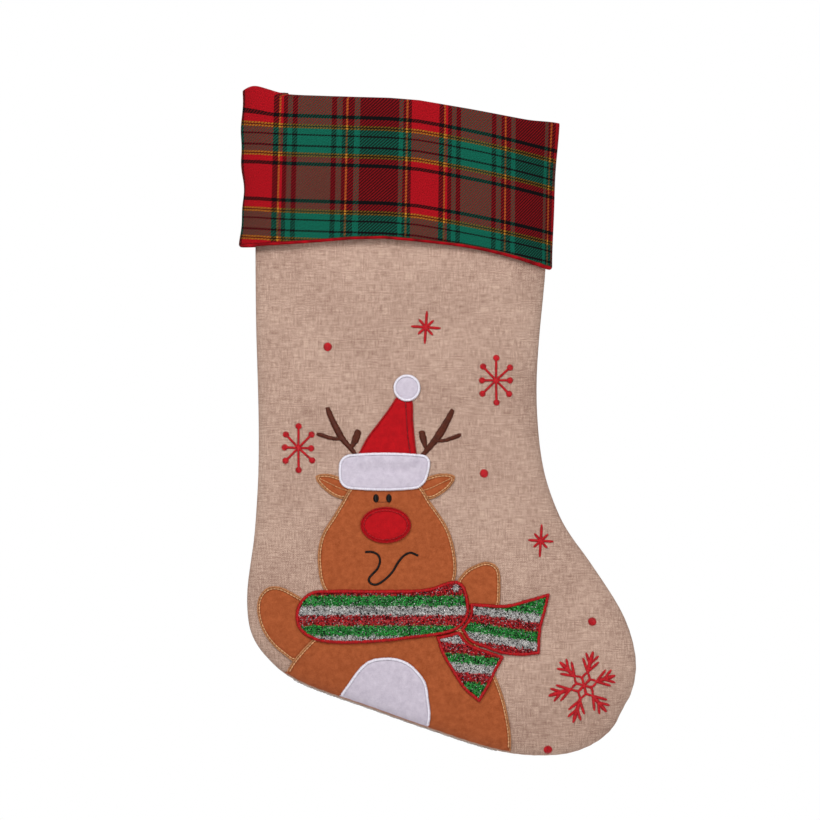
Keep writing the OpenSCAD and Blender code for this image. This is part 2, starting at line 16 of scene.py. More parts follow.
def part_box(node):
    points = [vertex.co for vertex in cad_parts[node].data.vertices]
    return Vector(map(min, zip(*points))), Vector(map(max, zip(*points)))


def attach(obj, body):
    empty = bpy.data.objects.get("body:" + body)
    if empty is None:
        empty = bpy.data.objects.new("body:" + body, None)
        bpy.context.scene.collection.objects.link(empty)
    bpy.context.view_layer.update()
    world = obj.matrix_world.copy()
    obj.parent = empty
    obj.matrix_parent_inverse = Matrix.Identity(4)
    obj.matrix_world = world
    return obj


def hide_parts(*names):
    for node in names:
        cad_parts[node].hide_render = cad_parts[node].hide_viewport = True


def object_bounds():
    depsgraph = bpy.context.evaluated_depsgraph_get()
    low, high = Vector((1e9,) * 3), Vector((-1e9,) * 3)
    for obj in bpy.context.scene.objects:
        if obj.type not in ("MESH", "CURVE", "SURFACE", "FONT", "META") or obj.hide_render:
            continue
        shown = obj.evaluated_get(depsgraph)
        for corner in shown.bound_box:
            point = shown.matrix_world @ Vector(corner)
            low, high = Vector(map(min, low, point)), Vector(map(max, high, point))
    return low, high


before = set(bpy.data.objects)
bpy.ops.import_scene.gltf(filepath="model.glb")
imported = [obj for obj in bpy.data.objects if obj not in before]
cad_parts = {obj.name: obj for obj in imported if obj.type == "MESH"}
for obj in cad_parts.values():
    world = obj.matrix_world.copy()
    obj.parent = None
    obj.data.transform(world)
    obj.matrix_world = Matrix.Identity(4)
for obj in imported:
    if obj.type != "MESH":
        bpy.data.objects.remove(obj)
cad_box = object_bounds()
MM = 0.001
print("CAD box, mm:", [[round(v / MM) for v in corner] for corner in cad_box])

# %% [markdown]
# ## Measures taken from the frame
#
# The two linen panels meet at the side seam, in a plane parallel to the picture plane.
# Their depth is read from the CAD nodes, so the cloth made here keeps their size.

# %% Measures of the pillow shape
front_low, front_high = (np.array(c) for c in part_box("front_panel"))
back_low = np.array(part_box("back_panel")[0])
SEAM_Y = (front_high[1] + back_low[1]) / 2
DEPTH = SEAM_Y - front_low[1]
# The width of the band beside the seam over which the cloth curves round
EDGE_BAND = 58 * MM
LINEN_T = 1.1 * MM
FELT_T = 1.1 * MM
print(f"seam plane y = {SEAM_Y / MM:.1f} mm, depth {DEPTH / MM:.1f} mm")


# %% [markdown]
# ## Outlines
#
# Each felt piece in the CAD model is a thin slab. Its outline is the border of the
# triangles that face forwards. The slab's corners are few, so a smooth curve is drawn
# through them, except at real corners, where the curve keeps its sharp turn.

# %% Outline of a CAD node, as an ordered loop of (x, z) points
def node_arrays(node):
    """Vertices and triangles of a CAD node, with the vertices at one place made one."""
    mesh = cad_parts[node].data
    mesh.calc_loop_triangles()
    points = np.empty(3 * len(mesh.vertices))
    mesh.vertices.foreach_get("co", points)
    tris = np.empty(3 * len(mesh.loop_triangles), dtype=np.int32)
    mesh.loop_triangles.foreach_get("vertices", tris)
    keys = np.round(points.reshape(-1, 3) / (0.01 * MM)).astype(np.int64)
    places, index = np.unique(keys, axis=0, return_inverse=True)
    return places * 0.01 * MM, index.reshape(-1)[tris].reshape(-1, 3)


def without_slits(ring):
    """Drops the points of a long narrow slit: a stretch that starts and ends at nearly one
    place and encloses almost nothing."""
    count = len(ring)
    keep = np.ones(count, dtype=bool)
    for first in range(count):
        for span in range(3, count // 2):
            index = (first + np.arange(span + 1)) % count
            part = ring[index]
            after = np.roll(part, -1, axis=0)
            length = np.linalg.norm(np.diff(part, axis=0), axis=1).sum()
            area = abs((part[:, 0] * after[:, 1] - after[:, 0] * part[:, 1]).sum()) / 2
            gap = np.linalg.norm(part[-1] - part[0])
            if gap < 3 * MM and length > 30 * MM and area < 0.8 * MM * length:
                keep[index[1:-1]] = False
    return ring[keep]


def outline_of(node):
    """The border of the forward-facing triangles: the edges that only one of them uses,
    joined end to end, anticlockwise as seen from the front."""
    points, tris = node_arrays(node)
    a, b, c = (points[tris[:, k]] for k in range(3))
    normal = np.cross(b - a, c - a)
    facing = tris[normal[:, 1] < -0.25 * np.linalg.norm(normal, axis=1)]
    edges = np.concatenate([facing[:, [0, 1]], facing[:, [1, 2]], facing[:, [2, 0]]])
    both_ways = {tuple(e) for e in edges.tolist()}
    follow = {}
    for start, end in sorted(both_ways):
        if (end, start) not in both_ways:
            follow.setdefault(start, []).append(end)
    loop = []
    while follow:
        walk = [next(iter(follow))]
        while walk[-1] in follow:
            ends = follow[walk[-1]]
            step = ends.pop()
            if not ends:
                del follow[walk[-1]]
            walk.append(step)
            if step == walk[0]:
                break
        loop = walk[:-1] if len(walk) > len(loop) + 1 else loop
    ring = without_slits(points[loop][:, [0, 2]])
    nxt = np.roll(ring, -1, axis=0)
    area = (ring[:, 0] * nxt[:, 1] - nxt[:, 0] * ring[:, 1]).sum()
    return ring if area > 0 else ring[::-1]


def smooth_loop(ring, steps=8, corner=38):
    """A Hermite curve through a closed ring of points. The tangent at a point is the
    direction between its neighbours, but at a corner it is that of each side."""
    before, after = np.roll(ring, 1, axis=0), np.roll(ring, -1, axis=0)
    unit = lambda v: v / np.maximum(np.linalg.norm(v, axis=-1, keepdims=True), 1e-9)
    into, out = unit(ring - before), unit(after - ring)
    turn = np.degrees(np.arccos(np.clip((into * out).sum(axis=1), -1, 1)))[:, None]
    mean = unit(into + out)
    leave = np.where(turn > corner, out, mean)
    arrive = np.where(turn > corner, into, mean)
    length = np.linalg.norm(after - ring, axis=1, keepdims=True)
    t = (np.arange(steps) / steps)[None, :, None]
    p0, p1 = ring[:, None], after[:, None]
    m0, m1 = (leave * length)[:, None], (np.roll(arrive, -1, axis=0) * length)[:, None]
    curve = ((2 * t**3 - 3 * t**2 + 1) * p0 + (t**3 - 2 * t**2 + t) * m0
             + (3 * t**2 - 2 * t**3) * p1 + (t**3 - t**2) * m1)
    return curve.reshape(-1, 2)


def resample(path, pitch, closed=True):
    """Points at an even pitch along a path, by linear steps along its length."""
    line = np.concatenate([path, path[:1]]) if closed else path
    along = np.concatenate([[0], np.cumsum(np.linalg.norm(np.diff(line, axis=0), axis=1))])
    count = max(4, int(round(along[-1] / pitch)))
    at = np.linspace(0, along[-1], count, endpoint=not closed)
    return np.stack([np.interp(at, along, line[:, k]) for k in range(2)], axis=1)


panel_loop = outline_of("front_panel")
print("front panel:", len(panel_loop), "outline points")

# %% [markdown]
# ## The face of the stocking
#
# Every patch and thread lies on the same soft face, so one function gives the place of a
# point that lies some height above the linen. From the seam inwards the face rises as a
# quarter of an ellipse. Small folds are added: puckers along the seam, where the
# sewing thread draws the cloth together, and long shallow waves down the leg.

# %% The seam line: the outline without the mouth
# The two ends of the rim are the outline's side corners at the height of the cuff
upper = np.where(panel_loop[:, 1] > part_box("cuff_front")[0][2])[0]
rim_left = upper[np.argmin(panel_loop[upper, 0] * 3 - panel_loop[upper, 1])]
rim_right = upper[np.argmax(panel_loop[upper, 0] * 3 + panel_loop[upper, 1])]
seam_ring = np.roll(panel_loop, -rim_left, axis=0)
seam_count = (rim_right - rim_left) % len(panel_loop) + 1
seam_ctrl = seam_ring[:seam_count]
apart = np.linalg.norm(np.diff(seam_ctrl, axis=0), axis=1) > 3 * MM
rim_ctrl = np.concatenate([seam_ring[seam_count - 1:], seam_ring[:1]])[::-1]
seam_ctrl = seam_ctrl[np.concatenate([[True], apart])]
# The filled-out toe swells a little at its lower corner
swell = np.exp(-((np.linalg.norm(seam_ctrl - np.array([222, -443]) * MM, axis=1) / (15 * MM)) ** 2))
seam_ctrl = seam_ctrl + swell[:, None] * np.array([1.5, -1.9]) * MM
seam_line = smooth_loop(seam_ctrl, 3, corner=180)[: 3 * (len(seam_ctrl) - 1) + 1]
seam_along = np.concatenate([[0], np.cumsum(np.linalg.norm(np.diff(seam_line, axis=0), axis=1))])
print(f"seam {seam_along[-1] / MM:.0f} mm long; rim from", seam_ctrl[0] / MM, "to", seam_ctrl[-1] / MM)


# %% Distance from the seam
def segment_distance(p, line):
    """For each point: its distance to the nearest segment of a line, the place along the
    line's segments, and the unit direction from the line to the point."""
    best = np.full(len(p), 1e9)
    index = np.zeros(len(p), dtype=int)
    share = np.zeros(len(p))
    start, way = line[:-1], np.diff(line, axis=0)
    length2 = np.maximum((way**2).sum(axis=1), 1e-18)
    for block in range(0, len(p), 4000):
        q = p[block:block + 4000, None] - start[None]
        t = np.clip((q * way[None]).sum(axis=2) / length2[None], 0, 1)
        d = np.linalg.norm(q - t[..., None] * way[None], axis=2)
        near = d.argmin(axis=1)
        rows = np.arange(len(near))
        best[block:block + 4000] = d[rows, near]
        index[block:block + 4000] = near
        share[block:block + 4000] = t[rows, near]
    foot = start[index] + share[:, None] * way[index]
    left = np.stack([-way[index, 1], way[index, 0]], axis=1)
    left /= np.linalg.norm(left, axis=1, keepdims=True)
    away = (p - foot) / np.maximum(best, 1e-9)[:, None]
    direction = np.where(best[:, None] > 0.05 * MM, away, left)
    return best, index + share, direction


def waves(p, seed, size, count=7):
    """A smooth random relief between about -1 and 1: a sum of plane waves with random
    directions, and wavelengths round the given size."""
    draw = np.random.default_rng(seed)
    angle = draw.uniform(0, 2 * np.pi, count)
    k = 2 * np.pi / (size * draw.uniform(0.7, 1.6, count))
    phase = draw.uniform(0, 2 * np.pi, count)
    arg = p[:, :1] * (k * np.cos(angle))[None] + p[:, 1:] * (k * np.sin(angle))[None] + phase[None]
    return np.sin(arg).sum(axis=1) / np.sqrt(count)


def skin(p, height, side=1):
    """The place over p = (x, z) at a height above the linen's face, on the front
    (side 1) or the back (side -1)."""
    distance, place, g = segment_distance(p, seam_line)
    c = np.clip(1 - distance / EDGE_BAND, 0, 1)
    s = np.sqrt(1 - c * c)
    k = c * DEPTH / EDGE_BAND
    normal = np.stack([-g[:, 0] * k, -s, -g[:, 1] * k], axis=1)
    normal /= np.linalg.norm(normal, axis=1, keepdims=True)
    from_seam = DEPTH * s
    groove = -0.35 * MM * np.exp(-((from_seam / (1.3 * MM)) ** 2))
    along = np.interp(place, np.arange(len(seam_along)), seam_along)
    pucker = np.sin(along * 2 * np.pi / (8.5 * MM) + 3 * np.sin(along / (31 * MM)))
    beside_seam = np.exp(-((from_seam / (6 * MM)) ** 2)) * (1 - np.exp(-((from_seam / MM) ** 2)))
    pucker = 0.16 * MM * pucker * beside_seam
    soft = waves(p, 3 if side > 0 else 4, 95 * MM) * 0.9 * MM + waves(p, 5, 38 * MM) * 0.22 * MM
    e = height + groove + pucker + soft * s**2
    out = np.empty((len(p), 3))
    out[:, 0] = p[:, 0] + e * normal[:, 0]
    out[:, 1] = SEAM_Y + side * (-0.1 * MM - from_seam + e * normal[:, 1])
    out[:, 2] = p[:, 1] + e * normal[:, 2]
    return out


# %% [markdown]
# ## Layers of felt
#
# Where a felt piece lies over another one it rises over its edge. The pieces that are
# already in place are kept in a list, and the ground under a new one is the sum of their
# thicknesses, each fading out over a millimetre or two at its edge.

# %% Height of what already lies on the linen
placed = []


def inside(p, ring):
    """True where a point is inside a closed ring: a line from it crosses an odd number
    of the ring's sides."""
    a, b = ring, np.roll(ring, -1, axis=0)
    over = (a[None, :, 1] > p[:, None, 1]) != (b[None, :, 1] > p[:, None, 1])
    rise = np.where(np.abs(b[:, 1] - a[:, 1]) < 1e-12, 1e-12, b[:, 1] - a[:, 1])
    cross = a[None, :, 0] + (p[:, None, 1] - a[None, :, 1]) * (b - a)[None, :, 0] / rise[None]
    return (over & (p[:, None, 0] < cross)).sum(axis=1) % 2 == 1


def ground(p, layers=None):
    """Sum over the placed pieces of thickness times a smooth step at the outline."""
    total = np.zeros(len(p))
    for ring, thick in placed if layers is None else layers:
        margin = 4 * MM
        near = ((p > ring.min(axis=0) - margin) & (p < ring.max(axis=0) + margin)).all(axis=1)
        if not near.any():
            continue
        q = p[near]
        d = segment_distance(q, np.concatenate([ring, ring[:1]]))[0]
        signed = np.where(inside(q, ring), d, -d)
        step = np.clip(signed / (1.6 * MM) + 0.65, 0, 1)
        total[near] += thick * step * step * (3 - 2 * step)
    return total


# %% [markdown]
# ## Helpers for meshes
#
# A mesh is filled from arrays: points, and faces grouped by how many corners they have.
# Each piece is given its material, the CAD body that it rides on and the CAD nodes that it stands for.

# %% Arrays to a piece
def build(name, points, faces, material, stands_for=(), body="stocking", uv=None, tint=None):
    """A mesh object from arrays. faces is a list of arrays of corner numbers, one array
    for each number of corners. uv and tint hold a value for each point."""
    mesh = bpy.data.meshes.new(name)
    flat = np.concatenate([f.reshape(-1) for f in faces])
    sizes = np.concatenate([np.full(len(f), f.shape[1]) for f in faces])
    starts = np.concatenate([[0], np.cumsum(sizes)[:-1]])
    mesh.vertices.add(len(points))
    mesh.vertices.foreach_set("co", np.ascontiguousarray(points, dtype=np.float32).reshape(-1))
    mesh.loops.add(len(flat))
    mesh.loops.foreach_set("vertex_index", flat.astype(np.int32))
    mesh.polygons.add(len(sizes))
    mesh.polygons.foreach_set("loop_start", starts.astype(np.int32))
    mesh.polygons.foreach_set("use_smooth", np.ones(len(sizes), dtype=bool))
    if uv is not None:
        layer = mesh.uv_layers.new(name="cloth")
        layer.data.foreach_set("uv", np.ascontiguousarray(uv[flat], dtype=np.float32).reshape(-1))
    if tint is not None:
        colour = mesh.attributes.new("tint", "FLOAT_COLOR", "POINT")
        colour.data.foreach_set("color", np.ascontiguousarray(tint, dtype=np.float32).reshape(-1))
    mesh.update()
    mesh.validate()
    mesh.materials.append(material)
    piece = bpy.data.objects.new(name, mesh)
    bpy.context.collection.objects.link(piece)
    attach(piece, body)
    if stands_for:
        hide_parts(*stands_for)
    return piece


def grid_faces(rows, cols, closed_rows=False, closed_cols=False):
    """Quads of a grid of points, row by row."""
    i = np.arange(rows if closed_rows else rows - 1)[:, None]
    j = np.arange(cols if closed_cols else cols - 1)[None]
    a, b = i * cols + j, i * cols + (j + 1) % cols
    c, d = ((i + 1) % rows) * cols + (j + 1) % cols, ((i + 1) % rows) * cols + j
    return np.stack([a, b, c, d], axis=-1).reshape(-1, 4)


# %% [markdown]
# ## Materials
#
# Each material is a small net of nodes. One function turns a hex colour to the linear
# values Blender works in, and one adds a node with its settings and links.

# %% Colour and node helpers
def linear(hex_colour, alpha=1.0):
    """sRGB hex to linear: below 0.04045 the curve is a straight line, above it a power."""
    s = np.array([int(hex_colour[i:i + 2], 16) / 255 for i in (1, 3, 5)])
    low = s / 12.92
    high = ((s + 0.055) / 1.055) ** 2.4
    return (*np.where(s <= 0.04045, low, high), alpha)


def add(mat, kind, settings=(), inputs=()):
    """Adds a node to a material. settings are its properties and inputs its sockets: a
    value is set on the socket, and another node's output is linked to it."""
    node = mat.node_tree.nodes.new("ShaderNode" + kind)
    for key, value in dict(settings).items():
        setattr(node, key, value)
    for key, value in dict(inputs).items():
        if isinstance(value, bpy.types.NodeSocket):
            mat.node_tree.links.new(value, node.inputs[key])
        else:
            node.inputs[key].default_value = value
    return node


def ramp(mat, factor, stops, mode="LINEAR"):
    """A colour ramp with stops at (place, colour)."""
    node = add(mat, "ValToRGB", {}, {0: factor})
    node.color_ramp.interpolation = mode
    elements = node.color_ramp.elements
    while len(elements) < len(stops):
        elements.new(0.5)
    for element, (place, colour) in zip(elements, stops):
        element.position = place
        element.color = colour if len(colour) == 4 else linear(colour)
    return node.outputs["Color"]


def new_material(name, **principled):
    """An empty material with a Principled shader; its fixed values go on its sockets."""
    mat = bpy.data.materials.new(name)
    mat.use_nodes = True
    shader = mat.node_tree.nodes["Principled BSDF"]
    for key, value in principled.items():
        shader.inputs[key.replace("_", " ")].default_value = value
    return mat, shader


def link(mat, output, shader, name):
    """Joins a node's output to a socket of the shader."""
    mat.node_tree.links.new(output, shader.inputs[name])


def maths(mat, operation, a, b=None, c=None):
    """The result of one mathematical operation on sockets or numbers."""
    inputs = {k: v for k, v in enumerate((a, b, c)) if v is not None}
    return add(mat, "Math", {"operation": operation}, inputs).outputs[0]


def mix(mat, factor, a, b, blend="MIX"):
    """Two colours mixed."""
    node = add(mat, "Mix", {"data_type": "RGBA", "blend_type": blend}, {0: factor, 6: a, 7: b})
    return node.outputs[2]


def noise(mat, vector, scale, detail=2.0, roughness=0.5):
    """Noise with a feature size of about 1 / scale metres."""
    return add(mat, "TexNoise", {}, {"Vector": vector, "Scale": scale, "Detail": detail,
                                    "Roughness": roughness}).outputs["Fac"]


def stretched(mat, vector, x, y, z=1.0):
    """A vector scaled along its axes, which draws a pattern out the other way."""
    return add(mat, "VectorMath", {"operation": "MULTIPLY"}, {0: vector, 1: (x, y, z)}).outputs[0]


def bump(mat, height, distance, shader, strength=1.0):
    """Turns a height pattern into bumps of that many metres."""
    node = add(mat, "Bump", {}, {"Height": height, "Distance": distance, "Strength": strength})
    link(mat, node.outputs["Normal"], shader, "Normal")


# %% [markdown]
# ### Linen-look cloth
#
# A plain weave of flax-coloured yarn. The yarns are about 0.6 mm apart; the weave is
# drawn twice as coarse, so that it shows.

# %% Linen
def linen(name, light, dark, yarn=1.2 * MM):
    """Weave: product of two sine waves along the cloth; slubs: noise drawn out along
    each yarn direction."""
    mat, shader = new_material(name, Roughness=0.92, Specular_IOR_Level=0.25)
    cloth = add(mat, "UVMap", {"uv_map": "cloth"}).outputs["UV"]
    axes = add(mat, "SeparateXYZ", {}, {0: cloth}).outputs
    u, v = axes[0], axes[1]
    wave_u = maths(mat, "SINE", maths(mat, "MULTIPLY", u, 2 * np.pi / yarn))
    wave_v = maths(mat, "SINE", maths(mat, "MULTIPLY", v, 2 * np.pi / yarn))
    weave = maths(mat, "MULTIPLY_ADD", maths(mat, "MULTIPLY", wave_u, wave_v), 0.5, 0.5)
    slub_down = noise(mat, stretched(mat, cloth, 1.0, 0.10), 1300.0, 2.0)
    slub_across = noise(mat, stretched(mat, cloth, 0.09, 1.0), 1300.0, 2.0)
    speck = noise(mat, cloth, 1500.0, 1.0)
    broad = noise(mat, cloth, 22.0, 2.0)
    tone = maths(mat, "MULTIPLY", slub_down, 0.23)
    for pattern, weight in ((slub_across, 0.25), (weave, 0.12), (speck, 0.30), (broad, 0.10)):
        tone = maths(mat, "MULTIPLY_ADD", pattern, weight, tone)
    colour = ramp(mat, tone, [(0.41, dark), (0.59, light)])
    link(mat, colour, shader, "Base Color")
    bump(mat, tone, 0.5 * MM, shader, 0.8)
    return mat


linen_cloth = linen("linen_look_weave", "#D0B2A0", "#8C6C5E")
lining_cloth = linen("cotton_lining", "#EFE8DC", "#D8CFC0", yarn=0.8 * MM)

# %% [markdown]
# ### Tartan twill
#
# In a tartan the warp, which runs down, and the weft, which runs across, each have a
# sequence of coloured stripes. Where they cross, the 2/2 twill shows half of each in
# fine slanting dashes, so that red over green looks brown and only like on like is pure.
# The stripe widths are given in millimetres and turned into steps of a colour ramp.

# %% Tartan
RED, GREEN, BLACK = "#C00C1C", "#0C6E58", "#0C0609"
YELLOW, ORANGE = "#E8A82C", "#DC8430"
WARP = [(RED, 20.6), (BLACK, 3.7), (ORANGE, 1.4), (RED, 1.9), (BLACK, 3.2), (GREEN, 3.6), (BLACK, 3.6),
        (GREEN, 25), (BLACK, 4), (GREEN, 3.8), (BLACK, 2.9), (ORANGE, 1.4), (BLACK, 3.9), (GREEN, 3.8),
        (BLACK, 25), (GREEN, 3.0), (BLACK, 1.7), (ORANGE, 1.3), (BLACK, 3.0)]
WEFT = [(RED, 22.8), (BLACK, 2.5), (RED, 4.2), (YELLOW, 1.1), (BLACK, 0.7), (YELLOW, 1.1), (GREEN, 4.0),
        (BLACK, 1.2), (GREEN, 6.4), (BLACK, 1.2), (GREEN, 4.0), (YELLOW, 1.1), (BLACK, 0.7), (YELLOW, 1.1),
        (RED, 3.6), (BLACK, 2.7)]
# Share of the surface that a weft colour covers: the black lines are packed close
COVER = {RED: 0.5, GREEN: 0.5, BLACK: 0.86, YELLOW: 0.5, ORANGE: 0.5}


def stripe_stops(stripes):
    """Ramp stops of a stripe sequence, and its length in metres."""
    width = np.array([w for _, w in stripes])
    start = np.concatenate([[0], np.cumsum(width)[:-1]]) / width.sum()
    stops = [(float(s), linear(c, COVER[c])) for s, (c, _) in zip(start, stripes)]
    return stops, float(width.sum()) * MM


def tartan():
    """Warp and weft colours, chosen by slanting bands of the twill. Where two unlike colours cross, the
    mixture is painted darker than their mean, as painted shade between the threads. Fine noise also paints
    shade into the gaps between threads."""
    mat, shader = new_material("tartan_twill", Roughness=0.9, Specular_IOR_Level=0.12)
    cloth = add(mat, "UVMap", {"uv_map": "cloth"}).outputs["UV"]
    axes = add(mat, "SeparateXYZ", {}, {0: cloth}).outputs
    u, v = axes[0], axes[1]
    warp_stops, warp_len = stripe_stops(WARP)
    weft_stops, weft_len = stripe_stops(WEFT)
    warp = ramp(mat, maths(mat, "FRACT", maths(mat, "DIVIDE", u, warp_len)), warp_stops, "CONSTANT")
    weft = ramp(mat, maths(mat, "FRACT", maths(mat, "DIVIDE", v, weft_len)), weft_stops, "CONSTANT")
    yarn = 0.55 * MM
    step = lambda value: maths(mat, "SNAP", value, yarn)
    diagonal = maths(mat, "DIVIDE", maths(mat, "ADD", step(u), step(v)), 4 * yarn)
    twill = maths(mat, "ABSOLUTE", maths(mat, "MULTIPLY_ADD", maths(mat, "FRACT", diagonal), 2.0, -1.0))
    over = maths(mat, "GREATER_THAN", maths(mat, "FRACT", maths(mat, "ADD", diagonal, 0.05)), 0.5)
    dash = maths(mat, "MULTIPLY_ADD", over, 0.8, -0.4)
    share = add(mat, "Clamp", {}, {0: maths(mat, "ADD", weft.node.outputs["Alpha"], dash)}).outputs[0]
    colour = mix(mat, share, warp, weft)
    # Painted shade: unlike colours that cross are darkened, and fine noise darkens flecks, standing in for
    # the shade in the gaps between threads
    unlike = add(mat, "VectorMath", {"operation": "DISTANCE"}, {0: warp, 1: weft}).outputs["Value"]
    crossing_shade = maths(mat, "MULTIPLY_ADD", unlike, -0.78, 1.0)
    fuzz = noise(mat, cloth, 1700.0, 2.0)
    thread_gap_shade = add(mat, "MapRange", {}, {"Value": fuzz, 1: 0.3, 2: 0.7, 3: 0.28, 4: 1.0}).outputs[0]
    shade = maths(mat, "MULTIPLY", thread_gap_shade, crossing_shade)
    grey = add(mat, "CombineColor", {}, {0: shade, 1: shade, 2: shade}).outputs[0]
    link(mat, mix(mat, 1.0, colour, grey, "MULTIPLY"), shader, "Base Color")
    bump(mat, maths(mat, "ADD", twill, fuzz), 0.25 * MM, shader, 0.6)
    return mat, warp_len, weft_len


tartan_cloth, WARP_LEN, WEFT_LEN = tartan()
print(f"tartan repeat {WARP_LEN / MM:.0f} by {WEFT_LEN / MM:.0f} mm")

# %% [markdown]
# ### Felt
#
# Felt is wool or polyester fibre pressed flat, with no weave. It is matt and slightly
# cloudy, with fine fibres standing out of its face.

# %% Felt
def felt(name, colour, deep, cloud=0.5):
    """Cloudy tone from two sizes of noise, and a fibre bump."""
    mat, shader = new_material(name, Roughness=0.95, Sheen_Weight=0.06, Specular_IOR_Level=0.15)
    place = add(mat, "TexCoord").outputs["Object"]
    fibre = noise(mat, place, 1600.0, 3.0, 0.7)
    clouds = noise(mat, place, 260.0, 3.0, 0.6)
    tone = maths(mat, "MULTIPLY_ADD", fibre, 1 - cloud, maths(mat, "MULTIPLY", clouds, cloud))
    link(mat, ramp(mat, tone, [(0.32, deep), (0.68, colour)]), shader, "Base Color")
    bump(mat, fibre, 0.3 * MM, shader, 0.5)
    return mat


brown_felt = felt("brown_felt", "#B45F36", "#8C421F")
red_felt = felt("red_felt", "#C01019", "#9E0913")
white_felt = felt("white_felt", "#D6CDD9", "#B9AFBE")

# %% [markdown]
# ### Embroidery thread
#
# Rayon or polyester thread lies side by side and has a silky gleam along its length.
# Each stitch is a real thread here, and a value kept with it makes it a little lighter
# or darker than the next one.

# %% Thread
def thread(name, colour, roughness=0.42, spread=0.35):
    """The stitch's own tint brightens or darkens the colour."""
    mat, shader = new_material(name, Roughness=roughness, Specular_IOR_Level=0.3)
    tint = add(mat, "Attribute", {"attribute_name": "tint"}).outputs["Color"]
    shade = add(mat, "MapRange", {}, {"Value": tint, 3: 1 - spread, 4: 1 + spread * 0.4}).outputs[0]
    grey = add(mat, "CombineColor", {}, {0: shade, 1: shade, 2: shade}).outputs[0]
    link(mat, mix(mat, 1.0, linear(colour), grey, "MULTIPLY"), shader, "Base Color")
    return mat


tan_thread = thread("tan_rayon_thread", "#DAA272", spread=0.2)
red_thread = thread("red_rayon_thread", "#C81824")
satin_thread = thread("red_satin_thread", "#B80A14")
white_thread = thread("white_rayon_thread", "#F0ECF6", spread=0.12)
black_thread = thread("black_rayon_thread", "#120B0B", roughness=0.35)
brown_thread = thread("brown_rayon_thread", "#5C2614")
seam_thread = thread("overlock_thread", "#D9D2C4", roughness=0.7)

# %% [markdown]
# ### Glitter
#
# The scarf is cloth printed with glue and strewn with foil glitter. Each flake is a tiny plate of its own,
# tilted at random, with its colour kept in the mesh. Foil is metallic and quite smooth, and light is also
# painted into each flake's colour: some are painted near black as painted shade, some brighter, and some
# whitened as painted glints.

# %% Glitter
def glitter():
    """Foil that takes its colour from each flake."""
    mat, shader = new_material("foil_glitter", Roughness=0.28, Metallic=0.35, Specular_IOR_Level=0.6)
    link(mat, add(mat, "Attribute", {"attribute_name": "tint"}).outputs["Color"], shader, "Base Color")
    return mat


def glue_cloth():
    """The striped ground under the flakes, with its colours kept in the mesh."""
    mat, shader = new_material("glittered_cloth", Roughness=0.6, Specular_IOR_Level=0.5)
    place = add(mat, "TexCoord").outputs["Object"]
    tint = add(mat, "Attribute", {"attribute_name": "tint"}).outputs["Color"]
    grain = noise(mat, place, 1400.0, 2.0)
    dim = add(mat, "MapRange", {}, {"Value": grain, 1: 0.3, 2: 0.7, 3: 0.25, 4: 0.95}).outputs[0]
    grey = add(mat, "CombineColor", {}, {0: dim, 1: dim, 2: dim}).outputs[0]
    link(mat, mix(mat, 1.0, tint, grey, "MULTIPLY"), shader, "Base Color")
    bump(mat, grain, 0.3 * MM, shader, 0.8)
    return mat


glitter_foil = glitter()
glitter_cloth = glue_cloth()

# %% [markdown]
# ## The linen panels
#
# Front and back are cut alike. Each is a grid stretched between the heel-side seam and
# the instep seam: rows run across from one to the other and end at the tip of the toe.
# The grid is closer near the seams, where the cloth turns the corner. A UV map holds the
# cloth's own lengths, so that the weave keeps its size where the cloth curves away.

# %% Panel grid
def row_ends(count):
    """Matching places on the heel side with the sole, and on the instep with the toe, by
    share of each one's length from the rim to the tip of the toe."""
    tip_at = np.argmax(seam_line[:, 0] - seam_line[:, 1] * 1.0)
    share = np.linspace(0, 1, count)
    tip_len = seam_along[tip_at]
    heel = np.stack([np.interp(share * tip_len, seam_along, seam_line[:, k]) for k in range(2)], axis=1)
    rest = seam_along[-1] - share * (seam_along[-1] - tip_len)
    instep = np.stack([np.interp(rest, seam_along, seam_line[:, k]) for k in range(2)], axis=1)
    return heel, instep


def panel_places(rows, cols):
    """Rows between the two sides, with columns spaced as a cosine so that they crowd at
    the seams. The rim's own curve fades out over the first rows."""
    heel, instep = row_ends(rows)
    s = (1 - np.cos(np.linspace(0, np.pi, cols))) / 2
    s = 0.75 * s + 0.25 * np.linspace(0, 1, cols)
    grid = heel[:, None] * (1 - s)[None, :, None] + instep[:, None] * s[None, :, None]
    chord = np.interp(rim_ctrl[:, 0], rim_ctrl[[0, -1], 0], rim_ctrl[[0, -1], 1])
    rise = np.interp(grid[0, :, 0], rim_ctrl[:, 0], rim_ctrl[:, 1] - chord)
    fade = np.clip(1 - np.linspace(0, 1, rows) * 6, 0, 1) ** 2
    grid[:, :, 1] += rise[None] * fade[:, None]
    return grid


def cloth_uv(p):
    """Flat place of a point of the panel: its own (x, z), moved outwards by the extra
    length of the ellipse over its plan width, found by adding up short steps."""
    distance, _, g = segment_distance(p, seam_line)
    steps = np.linspace(0, EDGE_BAND, 400)
    c = np.clip(1 - steps / EDGE_BAND, 0, 1)
    height = DEPTH * np.sqrt(1 - c * c)
    arc = np.concatenate([[0], np.cumsum(np.hypot(np.diff(steps), np.diff(height)))])
    extra = (arc[-1] - arc) - (steps[-1] - steps)
    return p - g * np.interp(distance, steps, extra)[:, None]


def make_panel(name, node, side, inset_height, material, rows, cols, thick):
    """A panel of cloth at a height over the linen's face, given its thickness inwards."""
    grid = panel_places(rows, cols)
    grid[-1] = grid[-1].mean(axis=0)
    flat = grid.reshape(-1, 2)
    points = skin(flat, inset_height, side)
    faces = grid_faces(rows, cols)
    faces = faces if side < 0 else faces[:, ::-1]
    piece = build(name, points, [faces], material, (node,), uv=cloth_uv(flat))
    merge(piece)
    solid = piece.modifiers.new("thickness", "SOLIDIFY")
    solid.thickness = thick
    solid.offset = -1
    return piece


